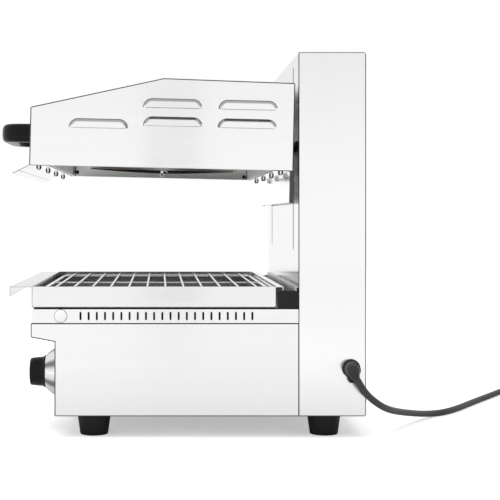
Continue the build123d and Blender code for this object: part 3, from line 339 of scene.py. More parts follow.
def lay_grain(mesh: bpy.types.Mesh, grain: Grain) -> None:
    """Writes a UV map in metres whose first coordinate runs along the brushing and whose second runs across it.

    Args:
        mesh: mesh that gets the map.
        grain: the way the sheet was brushed.
    """
    spots = corner_places(mesh)
    totals = np.empty(len(mesh.polygons), np.int32)
    mesh.polygons.foreach_get("loop_total", totals)
    facing = np.repeat(np.abs(face_arrays(mesh)[1]).argmax(1), totals)
    along = np.array(grain.value)[facing]
    across = 3 - facing - along
    rows = np.arange(len(spots))
    write_map(mesh, spots[rows, along], spots[rows, across])


def merged_copy(node: str) -> bpy.types.Mesh:
    """A copy of a frame node's mesh with its loose triangles joined and flat areas made whole.

    Args:
        node: name of a node of the frame.

    Returns:
        The copy, without materials.
    """
    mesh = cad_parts[node].data.copy()
    mesh.materials.clear()
    work = bmesh.new()
    work.from_mesh(mesh)
    bmesh.ops.remove_doubles(work, verts=work.verts, dist=MERGE_GAP)
    bmesh.ops.dissolve_limit(work, angle_limit=FLAT_WITHIN, verts=work.verts, edges=work.edges)
    work.to_mesh(mesh)
    work.free()
    return mesh


def cut_across(mesh: bpy.types.Mesh, axis: int, places: Sequence[float]) -> None:
    """Divides a mesh's faces where planes square to an axis cross them.

    Args:
        mesh: mesh to divide.
        axis: 0, 1 or 2 for X, Y or Z.
        places: where each plane stands on that axis.
    """
    work = bmesh.new()
    work.from_mesh(mesh)
    square = Vector((0, 0, 0))
    square[axis] = 1.0
    for spot in places:
        parts = work.verts[:] + work.edges[:] + work.faces[:]
        bmesh.ops.bisect_plane(work, geom=parts, dist=1e-7, plane_co=square * spot, plane_no=square)
    work.to_mesh(mesh)
    work.free()


def set_slots(mesh: bpy.types.Mesh, chosen: np.ndarray, slot: int) -> None:
    """Gives the chosen faces one material slot and leaves the others as they are.

    Args:
        mesh: mesh whose faces change.
        chosen: true for each face that changes.
        slot: number of the material slot.
    """
    before = np.empty(len(mesh.polygons), np.int32)
    mesh.polygons.foreach_get("material_index", before)
    mesh.polygons.foreach_set("material_index", np.where(chosen, slot, before).astype(np.int32))


def paint_fold_shade(mesh: bpy.types.Mesh, side_x: float, most_lean: float, slot: int = 1) -> None:
    """Paints shade on the folds round a side: faces near it whose normal is neither along X nor square to it get a
    near-black material, painted shade that stands for the dark reflection along a fold.

    Args:
        mesh: mesh of a folded sheet.
        side_x: distance of its sides from the middle plane.
        most_lean: largest X part of the normal that still counts as a fold.
        slot: material slot of the folds' painted shade.
    """
    centres, normals = face_arrays(mesh)
    out, lean = np.abs(centres[:, 0]), np.abs(normals[:, 0])
    fold = (out > side_x - FOLD_REACH) & (out < side_x) & (lean > LEAST_LEAN) & (lean < most_lean)
    set_slots(mesh, fold, slot)


def lay_reflection_bands(
    mesh: bpy.types.Mesh,
    axes: tuple[int, int],
    middles: Sequence[Sequence[float]],
    bands: int,
    power: float,
) -> None:
    """Writes the map of the painted reflection bands: its first coordinate is (0.5 + 0.5 cos(bands * angle)) ** power
    round the nearest turning axis.

    Args:
        mesh: mesh of pieces turned about parallel axes.
        axes: the two axes of space that are square to the turning axes.
        middles: places of the turning axes along the first and along the second.
        bands: painted bright reflection bands in a full turn.
        power: above 1 the dark bands are the wider ones, below 1 the bright ones.
    """
    spots = corner_places(mesh)
    away = []
    for axis, places in zip(axes, middles):
        gaps = spots[:, axis, None] - np.array(places)[None]
        away.append(np.take_along_axis(gaps, np.abs(gaps).argmin(1)[:, None], 1)[:, 0])
    share = (0.5 + 0.5 * np.cos(bands * np.arctan2(away[1], away[0]))) ** power
    write_map(mesh, share, spots[:, 2])


def place(
    mesh: bpy.types.Mesh,
    name: str,
    body: str,
    finish: "Finish",
    stands_for: Iterable[str] = (),
    crease: float = 35.0,
    edge: float = 0.0,
    more: Sequence["Finish"] = (),
    flat: bool = False,
) -> bpy.types.Object:
    """Makes an object of a mesh, dresses it, and sets it on the body that carries it.

    Args:
        mesh: the finished mesh, placed in its own points.
        name: name of the piece.
        body: body of the frame that it rides on, or nothing for a piece that rides on none.
        finish: its surface finish.
        stands_for: frame nodes that it takes the place of.
        crease: angle in degrees above which an edge stays sharp.
        edge: width of the rounding along sharp edges, or 0 for none.
        more: finishes of further material slots; the last one also takes the roundings, so where it is the painted edge
            shade the roundings are painted shade too.
        flat: large faces keep their own normals and the folds between them take the change.

    Returns:
        The object.
    """
    mesh.polygons.foreach_set("use_smooth", np.ones(len(mesh.polygons), bool))
    mesh.set_sharp_from_angle(angle=math.radians(crease))
    if GRAIN_MAP not in mesh.uv_layers:
        lay_grain(mesh, Grain.FOLDED)
    piece = bpy.data.objects.new(name, mesh)
    bpy.context.scene.collection.objects.link(piece)
    for coat in (finish, *more):
        mesh.materials.append(coat.material())
    if edge:
        rounding = piece.modifiers.new("rounded_edges", "BEVEL")
        rounding.width = edge
        rounding.segments = 2
        rounding.limit_method = "ANGLE"
        rounding.angle_limit = ROUNDED_ABOVE
        rounding.harden_normals = True
        rounding.material = len(more) if more else -1
    if flat:
        even = piece.modifiers.new("even_sheets", "WEIGHTED_NORMAL")
        even.weight = 100
        even.keep_sharp = True
    if body:
        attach(piece, body)
    if stands_for:
        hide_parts(*stands_for)
    LOG.info("%s on %s, %d faces", name, body, len(mesh.polygons))
    return piece


# ---------------------------------------------------------------- finishes
class Wiring:
    """Adds nodes to one node tree and joins them."""

    def __init__(self, tree: bpy.types.NodeTree) -> None:
        """Starts with a tree as Blender makes it."""
        self.tree = tree

    def node(self, kind: str, **inputs: object) -> bpy.types.Node:
        """Adds a node and fills its inputs, each from a number, a colour or another node's output.

        Args:
            kind: Blender's name of the node type.
            **inputs: input names, with spaces written as underscores.

        Returns:
            The node.
        """
        made = self.tree.nodes.new(kind)
        for key, value in inputs.items():
            self.feed(made.inputs[key.replace("_", " ")], value)
        return made

    def feed(self, socket: bpy.types.NodeSocket, value: object) -> None:
        """Links an output to a socket, or writes a plain value into it."""
        if isinstance(value, bpy.types.NodeSocket):
            self.tree.links.new(value, socket)
        else:
            socket.default_value = value

    def math(self, operation: str, *values: object) -> bpy.types.NodeSocket:
        """The result of one of the Math node's operations on numbers or other nodes' outputs.

        Args:
            operation: Blender's name of the operation.
            *values: numbers or other nodes' outputs, in the operation's order.

        Returns:
            The output with the result.
        """
        made = self.tree.nodes.new("ShaderNodeMath")
        made.operation = operation
        for socket, value in zip(made.inputs, values):
            self.feed(socket, value)
        return made.outputs[0]

    def spread(self, value: bpy.types.NodeSocket, span: Span) -> bpy.types.NodeSocket:
        """A number that goes from span[2] to span[3] as a value goes from span[0] to span[1], and stays beyond.

        Args:
            value: output with the value.
            span: the value's two limits, then the numbers at them.

        Returns:
            The output with the number.
        """
        made = self.node("ShaderNodeMapRange", Value=value)
        for socket, number in zip(made.inputs[1:5], span):
            socket.default_value = number
        return made.outputs[0]


class Recipe(Wiring):
    """One material under construction, whose nodes end in the surface shader."""

    def __init__(self, name: str) -> None:
        """Starts a material that has only its surface shader.

        Args:
            name: name of the material.
        """
        self.made = bpy.data.materials.new(name)
        self.made.use_nodes = True
        super().__init__(self.made.node_tree)
        self.shader = self.tree.nodes["Principled BSDF"]

    def set(self, **inputs: object) -> None:
        """Fills inputs of the surface shader."""
        for key, value in inputs.items():
            self.feed(self.shader.inputs[key.replace("_", " ")], value)

    def object_place(self, scale: Point = (1, 1, 1)) -> bpy.types.NodeSocket:
        """Object coordinates, in metres, times a scale for each axis."""
        source = self.node("ShaderNodeTexCoord").outputs["Object"]
        return self.node("ShaderNodeMapping", Vector=source, Scale=scale).outputs[0]

    def grain_place(self, along: float, across: float) -> bpy.types.NodeSocket:
        """The grain map times one scale along the brushing and one across it.

        Args:
            along: scale along the brushing.
            across: scale across it.

        Returns:
            The output with the scaled place.
        """
        source = self.node("ShaderNodeUVMap")
        source.uv_map = GRAIN_MAP
        return self.node("ShaderNodeMapping", Vector=source.outputs[0], Scale=(along, across, 1)).outputs[0]

    def noise(self, vector: bpy.types.NodeSocket, scale: float, detail: float = 2.0) -> bpy.types.NodeSocket:
        """Fractal noise from 0 to 1 at a place."""
        return self.node("ShaderNodeTexNoise", Vector=vector, Scale=scale, Detail=detail).outputs[0]

    def between(self, share: bpy.types.NodeSocket, low: float, high: float) -> bpy.types.NodeSocket:
        """A number that goes from low to high as the share goes from 0.25 to 0.75."""
        return self.spread(share, (*RAMP_ENDS, low, high))

    def blend(self, share: bpy.types.NodeSocket, first: Colour, second: Colour) -> bpy.types.NodeSocket:
        """A colour that goes from the first to the second as the share goes from 0.25 to 0.75.

        Args:
            share: output with the share.
            first: colour up to 0.25.
            second: colour from 0.75.

        Returns:
            The output with the colour.
        """
        made = self.node("ShaderNodeValToRGB", Fac=share)
        for stop, place_on_ramp, colour in zip(made.color_ramp.elements, RAMP_ENDS, (first, second)):
            stop.position = place_on_ramp
            stop.color = (*colour, 1)
        return made.outputs[0]

    def relief(self, height: bpy.types.NodeSocket, strength: float, depth: float) -> None:
        """Joins a bump of a given strength and depth in metres to the shader."""
        bump = self.node("ShaderNodeBump", Height=height, Strength=strength, Distance=depth)
        self.set(Normal=bump.outputs[0])


def shade(colour: Colour, factor: float) -> Colour:
    """A colour made lighter or darker by one factor, at most white."""
    red, green, blue = (min(1.0, part * factor) for part in colour)
    return red, green, blue


@dataclass(frozen=True)
class Finish:
    """What every finish has: a name and a colour. The material is made once and shared."""

    name: str
    colour: Colour

    def material(self) -> bpy.types.Material:
        """The finish's material, made at its first use.

        Returns:
            The material.
        """
        found = bpy.data.materials.get(self.name)
        if found is None:
            recipe = Recipe(self.name)
            self.make(recipe)
            found = recipe.made
        return found

    def either_side(self, part: float) -> tuple[Colour, Colour]:
        """The colour darker by a part of itself, and lighter by as much."""
        return shade(self.colour, 1 - part), shade(self.colour, 1 + part)

    def make(self, recipe: Recipe) -> None:
        """Fills a new material. Each kind of finish has its own."""
        raise NotImplementedError


@dataclass(frozen=True)
class BrushedSheet(Finish):
    """Stainless sheet with long fine lines: the lines are noise stretched along the grain map."""

    roughness: float = 0.3
    lines: float = 0.05
    stretch: float = 0.6
    fine_scales: Pair = (9.0, 1400.0)
    broad_scales: Pair = (1.6, 90.0)
    smoother: float = 0.05
    rougher: float = 0.07
    depth: float = 0.00004

    def make(self, recipe: Recipe) -> None:
        """Lines in colour, roughness and relief, with the gloss stretched across them.

        Args:
            recipe: the material under construction.
        """
        fine = recipe.noise(recipe.grain_place(*self.fine_scales), 1.0, 3)
        broad = recipe.noise(recipe.grain_place(*self.broad_scales), 1.0, 2)
        share = recipe.math("MULTIPLY_ADD", fine, 0.5, recipe.math("MULTIPLY", broad, 0.5))
        tangent = recipe.node("ShaderNodeTangent")
        tangent.direction_type = "UV_MAP"
        tangent.uv_map = GRAIN_MAP
        recipe.set(
            Metallic=1.0,
            Base_Color=recipe.blend(share, *self.either_side(self.lines)),
            Roughness=recipe.between(share, self.roughness - self.smoother, self.roughness + self.rougher),
            Anisotropic=self.stretch,
            Anisotropic_Rotation=0.25,
            Tangent=tangent.outputs[0],
        )
        recipe.relief(fine, 0.12, self.depth)


@dataclass(frozen=True)
class BrightMetal(Finish):
    """Plated, polished or ground metal with faint clouding and handling marks."""

    roughness: float = 0.12
    clouding: float = 0.05
    cloud_scale: float = 60.0
    speck_scale: float = 900.0
    depth: float = 0.00005

    def make(self, recipe: Recipe) -> None:
        """Clouds in colour and roughness, and a faint relief.

        Args:
            recipe: the material under construction.
        """
        place_in = recipe.object_place()
        clouds = recipe.noise(place_in, self.cloud_scale, 4)
        specks = recipe.noise(place_in, self.speck_scale, 2)
        recipe.set(
            Metallic=1.0,
            Base_Color=recipe.blend(clouds, *self.either_side(self.clouding)),
            Roughness=recipe.between(clouds, self.roughness * 0.8, self.roughness * 1.3),
        )
        recipe.relief(specks, 0.06, self.depth)


@dataclass(frozen=True)
class Moulding(Finish):
    """Moulded plastic, rubber or lacquer: a fine skin texture with slight changes of tone."""

    roughness: float = 0.35
    pores: float = 1500.0
    depth: float = 0.15
    coat: float = 0.0
    gloss: float = 0.5
    drift: float = 0.15
    drift_scale: float = 35.0
    pore_depth: float = 0.00006

    def make(self, recipe: Recipe) -> None:
        """A tone that drifts over centimetres, and pores well under a millimetre.

        Args:
            recipe: the material under construction.
        """
        place_in = recipe.object_place()
        drift = recipe.noise(place_in, self.drift_scale, 3)
        pores = recipe.noise(place_in, self.pores, 2)
        recipe.set(
            Base_Color=recipe.blend(drift, *self.either_side(self.drift)),
            Roughness=recipe.between(drift, self.roughness - 0.04, self.roughness + 0.06),
            Specular_IOR_Level=self.gloss,
            Coat_Weight=self.coat,
            Coat_Roughness=0.06,
        )
        recipe.relief(pores, self.depth, self.pore_depth)


@dataclass(frozen=True)
class HeatedTube(Finish):
    """Sheath of a heating element: grey-brown oxide with bluish and straw patches."""

    straw: Colour = (0.30, 0.24, 0.20)
    patch_scale: float = 28.0
    grain_scale: float = 700.0
    depth: float = 0.00008

    def make(self, recipe: Recipe) -> None:
        """Patches a few centimetres long over a fine oxide grain.

        Args:
            recipe: the material under construction.
        """
        place_in = recipe.object_place()
        patches = recipe.noise(place_in, self.patch_scale, 3)
        grain = recipe.noise(place_in, self.grain_scale, 3)
        recipe.set(
            Metallic=0.85,
            Base_Color=recipe.blend(patches, self.colour, self.straw),
            Roughness=recipe.between(grain, 0.38, 0.6),
        )
        recipe.relief(grain, 0.2, self.depth)


@dataclass(frozen=True)
class CastMetal(Finish):
    """Rough casting: pits and lumps of a millimetre or two."""

    lump_scale: float = 260.0
    depth: float = 0.0004

    def make(self, recipe: Recipe) -> None:
        """Pitted relief under a dull dark skin.

        Args:
            recipe: the material under construction.
        """
        lumps = recipe.noise(recipe.object_place(), self.lump_scale, 5)
        recipe.set(
            Metallic=0.6,
            Base_Color=recipe.blend(lumps, shade(self.colour, 0.75), shade(self.colour, 1.3)),
            Roughness=recipe.between(lumps, 0.55, 0.8),
        )
        recipe.relief(lumps, 0.5, self.depth)


@dataclass(frozen=True)
class LensPlastic(Finish):
    """Tinted clear lens of the pilot lamp."""

    swirl_scale: float = 220.0
    let_through: float = 0.35
    depth: float = 0.0001

    def make(self, recipe: Recipe) -> None:
        """Tint that deepens in soft rings, and some light let through.

        Args:
            recipe: the material under construction.
        """
        swirl = recipe.noise(recipe.object_place(), self.swirl_scale, 2)
        recipe.set(
            Base_Color=recipe.blend(swirl, self.colour, shade(self.colour, 1.3)),
            Roughness=0.1,
            Transmission_Weight=self.let_through,
        )
        recipe.relief(swirl, 0.1, self.depth)


@dataclass(frozen=True)
class PaintedReflectionChrome(Finish):
    """Polished turned metal with painted reflection: bright and dark bands round its axis, from the piece's own map,
    stand for a dark room mirrored between its highlights.
    """

    # colour of the painted dark reflection bands
    dark: Colour = (0.02, 0.02, 0.02)
    roughness: float = 0.17
    cloud_scale: float = 300.0

    def make(self, recipe: Recipe) -> None:
        """Painted reflection bands from the map's first coordinate, with faint clouds in the roughness.

        Args:
            recipe: the material under construction.
        """
        turns = recipe.node("ShaderNodeSeparateXYZ", Vector=recipe.grain_place(1, 1))
        clouds = recipe.noise(recipe.object_place(), self.cloud_scale, 2)
        recipe.set(
            Metallic=1.0,
            Base_Color=recipe.blend(turns.outputs[0], self.dark, self.colour),
            Roughness=recipe.between(clouds, self.roughness * 0.7, self.roughness * 1.3),
        )


@dataclass(frozen=True)
class Stranded(Finish):
    """Wire rope: slanting strands drawn as bands round the rope."""

    strand_scale: float = 330.0
    slant: Point = (1.0, 1.0, 0.6)
    depth: float = 0.0003

    def make(self, recipe: Recipe) -> None:
        """Diagonal bands of relief, a strand every millimetre.

        Args:
            recipe: the material under construction.
        """
        bands = recipe.node("ShaderNodeTexWave", Vector=recipe.object_place(self.slant), Scale=self.strand_scale)
        bands.bands_direction = "DIAGONAL"
        share = bands.outputs["Fac"]
        recipe.set(
            Metallic=1.0,
            Base_Color=recipe.blend(share, shade(self.colour, 0.6), shade(self.colour, 1.3)),
            Roughness=0.35,
        )
        recipe.relief(share, 0.8, self.depth)


# near-black painted edge shade for folds, cut edges and roundings: it stands for the dark reflection along them
FOLD_PAINTED_SHADE = BrushedSheet("folded_edge_painted_shade", (0.085, 0.085, 0.087), 0.28, 0.15, 0.0)
HOOD_SHEET = BrushedSheet("hood_sheet", (0.97, 0.97, 0.966), 0.13, 0.025, 0.85)
COLUMN_SHEET = BrushedSheet("column_sheet", (0.95, 0.95, 0.946), 0.14, 0.012, 0.7)
BASE_SHEET = BrushedSheet("base_sheet", (0.93, 0.93, 0.925), 0.18, 0.015, 0.8)
TRAY_SHEET = BrushedSheet("tray_sheet", (0.89, 0.89, 0.885), 0.15, 0.015, 0.7)
STRIP_SHEET = BrushedSheet("strip_sheet", (0.93, 0.93, 0.925), 0.50, 0.02, 0.0)
# grey painted shade for the louvres' upper flanks and the visor's bend: it stands for the dark room they mirror
LOUVRE_PAINTED_SHADE = BrushedSheet("louvre_flank_painted_shade", (0.50, 0.50, 0.50), 0.30, 0.10, 0.3)
# dark grey painted shade for the tray's inside
TRAY_INSIDE_PAINTED_SHADE = BrushedSheet("tray_inside_painted_shade", (0.27, 0.27, 0.267), 0.14, 0.10, 0.3)
LINER_SHEET = BrushedSheet("liner_sheet", (0.90, 0.90, 0.89), 0.46, 0.04, 0.0)
VISOR_SHEET = BrushedSheet("visor_sheet", (0.92, 0.92, 0.92), 0.10, 0.01, 0.3)
ZINC = BrightMetal("zinc_plate", (0.58, 0.60, 0.62), 0.42, 0.10)
GROUND = BrightMetal("ground_rod", (0.68, 0.68, 0.69), 0.18, 0.03)
FASTENER = BrightMetal("fastener_plate", (0.66, 0.66, 0.66), 0.24, 0.05)
CHROME = BrightMetal("bezel_chrome_plate", (0.83, 0.83, 0.84), 0.06, 0.02)
NUT_CHROME_PAINTED_REFLECTION = PaintedReflectionChrome("nut_chrome_painted_reflection", (0.86, 0.86, 0.87))
BEZEL_CHROME_PAINTED_REFLECTION = PaintedReflectionChrome("bezel_painted_reflection_bands", (0.88, 0.88, 0.89), (0.24, 0.24, 0.25), 0.10)
WIRE = BrightMetal("bright_wire", (0.80, 0.80, 0.80), 0.14, 0.04)
BRONZE = BrightMetal("bush_bronze", (0.62, 0.43, 0.24), 0.30, 0.08)
PIN_METAL = BrightMetal("plug_pin_nickel", (0.74, 0.72, 0.68), 0.20, 0.04)
ENAMEL = Moulding("deck_enamel", (0.008, 0.008, 0.0085), 0.16, 400.0, 0.10, 0.0, 0.25)
BLACK_GLOSS = Moulding("handle_black", (0.004, 0.004, 0.0042), 0.22, 900.0, 0.06, 0.0, 0.16)
KNOB_BLACK = Moulding("knob_black", (0.004, 0.004, 0.004), 0.30, 900.0, 0.08, 0.0, 0.2)
FOOT_RUBBER = Moulding("foot_rubber", (0.009, 0.009, 0.0095), 0.55, 1100.0, 0.30, 0.0, 0.25)
JACKET = Moulding("cord_jacket", (0.052, 0.052, 0.053), 0.42, 1300.0, 0.20, 0.0, 0.14)
PLUG_BLACK = Moulding("plug_moulding", (0.012, 0.012, 0.0125), 0.40, 1200.0, 0.30)
WHITE_DOME = Moulding("plug_white", (0.96, 0.96, 0.955), 0.25, 900.0, 0.05, 0.2)
# grey painted shade for the outline round the white domes
DOME_RIM_PAINTED_SHADE = Moulding("plug_rim_painted_shade", (0.20, 0.20, 0.20), 0.45, 900.0, 0.05)
POINTER = Moulding("pointer_white", (0.85, 0.85, 0.84), 0.40, 900.0, 0.08)
PHENOLIC = Moulding("phenolic_body", (0.05, 0.045, 0.04), 0.45, 800.0, 0.25)
SLEEVING = Moulding("wire_sleeving", (0.70, 0.69, 0.66), 0.60, 1500.0, 0.40)
NYLON = Moulding("pulley_nylon_skin", (0.78, 0.76, 0.70), 0.40, 900.0, 0.10)
CERAMIC = Moulding("ceramic_bead", (0.86, 0.85, 0.82), 0.55, 1400.0, 0.20)
ELEMENT = HeatedTube("element_sheath", (0.16, 0.17, 0.20))
# near-black painted shade for the lens-shaped rod and the screws on the liner's far wall
SUPPORT_PAINTED_SHADE = BrightMetal("support_painted_shade", (0.035, 0.034, 0.033), 0.35, 0.2)
IRON = CastMetal("weight_iron", (0.16, 0.16, 0.165))
LENS = LensPlastic("lamp_lens_tint", (0.60, 0.20, 0.04))
ROPE = Stranded("rope_wire", (0.52, 0.52, 0.52))


# ---------------------------------------------------------------- the tilted head's own directions
@dataclass(frozen=True)
class HeadSpace:
    """Turns depth behind the head's front and rise above its lower edge into places in the shared frame."""

    front_y: float = -0.1865
    edge_z: float = 0.3545
    tilt: float = math.radians(1.3)

    def at(self, across: np.ndarray | float, depth: np.ndarray | float, rise: np.ndarray | float) -> np.ndarray:
        """Places (..., 3) for X, depth and rise, each in metres and spread to one shape.

        Args:
            across: X.
            depth: distance behind the head's front.
            rise: height above its lower edge.

        Returns:
            The places.
        """
        y = self.front_y + depth * math.cos(self.tilt) + rise * math.sin(self.tilt)
        z = self.edge_z - depth * math.sin(self.tilt) + rise * math.cos(self.tilt)
        return np.stack(np.broadcast_arrays(across, y, z), -1)

    @property
    def upward(self) -> Point:
        """Direction square to the head's lower edge."""
        return 0.0, math.sin(self.tilt), math.cos(self.tilt)


HEAD = HeadSpace()


# ---------------------------------------------------------------- sub-assemblies
@dataclass
class SheetBody:
    """The folded housings: base, band, column and covers, with slightly rounded folds."""

    fold: float = 0.0007
    # painted edge shade: the height of a lower rim that gets it, and the reach and depth of the column's slot sides
    # that get it
    rim: float = 0.0012
    slot_reach: float = 0.215
    slot_depth: float = 0.0014

    def build(self) -> None:
        """Dresses each housing with its own finish and way of brushing; the last number is the limit of its folds'
        painted shade.
        """
        for node, finish, grain, slot, lean in (
            ("base_housing", BASE_SHEET, Grain.FOLDED, "brushed_stainless", 0.99),
            ("vent_band", BASE_SHEET, Grain.FOLDED, "brushed_stainless", 0.6),
            ("rear_trim_strip", STRIP_SHEET, Grain.FOLDED, "brushed_stainless", 0.0),
            ("column_housing", COLUMN_SHEET, Grain.UPRIGHT, "brushed_stainless", 0.9),
            ("column_rear_cover", COLUMN_SHEET, Grain.FOLDED, "brushed_stainless", 0.0),
            ("deck_plate", ENAMEL, Grain.FOLDED, "black_enamel", 0.0),
            ("base_pan", ZINC, Grain.FOLDED, "zinc_steel", 0.0),
        ):
            # folds and cut edges get the near-black painted edge shade
            mesh = merged_copy(node)
            if lean:
                paint_fold_shade(mesh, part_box(node)[1].x, lean)
            self.paint_cut_edge_shade(mesh, node)
            lay_grain(mesh, grain)
            more = [FOLD_PAINTED_SHADE] if finish is COLUMN_SHEET or lean else []
            place(mesh, f"{node}_sheet", "frame", finish, [node], edge=self.fold, more=more, flat=True)

    def paint_cut_edge_shade(self, mesh: bpy.types.Mesh, node: str) -> None:
        """Paints shade on the lower rims and on the cut sides of the rear cover and the column's slots, with the folds'
        near-black painted shade.

        Args:
            mesh: copy of the node's mesh.
            node: the node's name; only three of them change.
        """
        if node not in ("column_rear_cover", "column_housing", "base_housing"):
            return
        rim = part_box(node)[0].z + self.rim
        cut_across(mesh, 2, [rim])
        centres, normals = face_arrays(mesh)
        set_slots(mesh, centres[:, 2] < rim, 1)
        if node == "base_housing":
            return
        sideways = np.abs(normals[:, 0]) > FACING
        if node == "column_housing":
            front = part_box(node)[0].y
            sideways &= (np.abs(centres[:, 0]) < self.slot_reach) & (centres[:, 1] < front + self.slot_depth)
        set_slots(mesh, sideways, 1)


@dataclass
class BendSupport:
    """The bowed rod under the elements' bends, its hook and ring, and the screws of the liner's far wall. The rod and
    the screws are near black: painted shade, a dark lens and dark spots that stand for the shade seen along the liner's
    far wall.
    """

    wall_x: float = -0.205
    rod_front: float = 0.0567
    rod_length: float = 0.2324
    rod_rise: float = 0.0126
    rod_sag: float = 0.0030
    rod_half_width: float = 0.0012
    rod_half_height: float = 0.0006
    rod_swell: float = 0.0019
    hook_gap: float = 0.0028
    hook_depth: float = 0.1728
    ring_rise: float = 0.0050
    ring_radius: float = 0.0031
    ring_wire: float = 0.0008
    hook_half_sizes: Pair = (0.0009, 0.0024)
    hook_heights: Span = (0.0078, 0.0080, 0.0150, 0.0152)
    screw_places: tuple[Pair, ...] = ((0.0340, 0.0060), (0.3070, 0.0042))
    screw: tuple[Pair, ...] = (
        (0.0, -0.0005), (0.0030, -0.0005), (0.0030, 0.0006), (0.0024, 0.0014), (0.0012, 0.0018), (0.0, 0.0019),
    )

    def build(self) -> None:
        """Builds the rod, the hook with its ring, and the screws."""
        self.rod()
        self.hook()
        feet = [tuple(HEAD.at(self.wall_x, depth, rise)) for depth, rise in self.screw_places]
        caps = lathed("caps_mesh", self.screw, feet, (1, 0, 0), 32)
        # the screws are near black as painted shade
        place(caps, "liner_screws", "head", SUPPORT_PAINTED_SHADE)

    def rod(self) -> None:
        """The rod: a flat oval whose height swells, and whose middle sags, by half a sine wave."""
        share = np.linspace(0, 1, 48)[:, None]
        sag = np.sin(np.pi * share)
        ring = circle(12)
        half = self.rod_half_height + self.rod_swell * sag
        across = self.wall_x + self.rod_half_width * (1 + ring[:, 0])
        depth = self.rod_front + self.rod_length * share
        rise = self.rod_rise - self.rod_sag * sag + half * ring[:, 1]
        mesh = Surface.empty().add_grid(HEAD.at(across, depth, rise)).mesh("support_mesh")
        # the rod is near black as painted shade: a dark lens along the liner's far wall
        place(mesh, "bend_support", "head", SUPPORT_PAINTED_SHADE)

    def hook(self) -> None:
        """The hook: a wire ring below a flat plate with rounded corners."""
        middle = self.wall_x + self.hook_gap
        turn = np.linspace(0, 2 * np.pi, 32, endpoint=False)
        depth = self.hook_depth + self.ring_radius * np.cos(turn)
        loop = HEAD.at(middle, depth, self.ring_rise + self.ring_radius * np.sin(turn))
        hook = Surface.empty().add_grid(round_rod(loop, self.ring_wire, (1, 0, 0), True, 12), close_rows=True)
        size = np.array([0.9, 1.0, 1.0, 0.9])[:, None]
        plate = squircle(24, 5.0) * self.hook_half_sizes
        across, behind = middle + size * plate[:, 0], self.hook_depth + size * plate[:, 1]
        hook.add_grid(HEAD.at(across, behind, np.array(self.hook_heights)[:, None]))
        place(hook.mesh("hook_mesh"), "support_hook", "head", WIRE, crease=40)


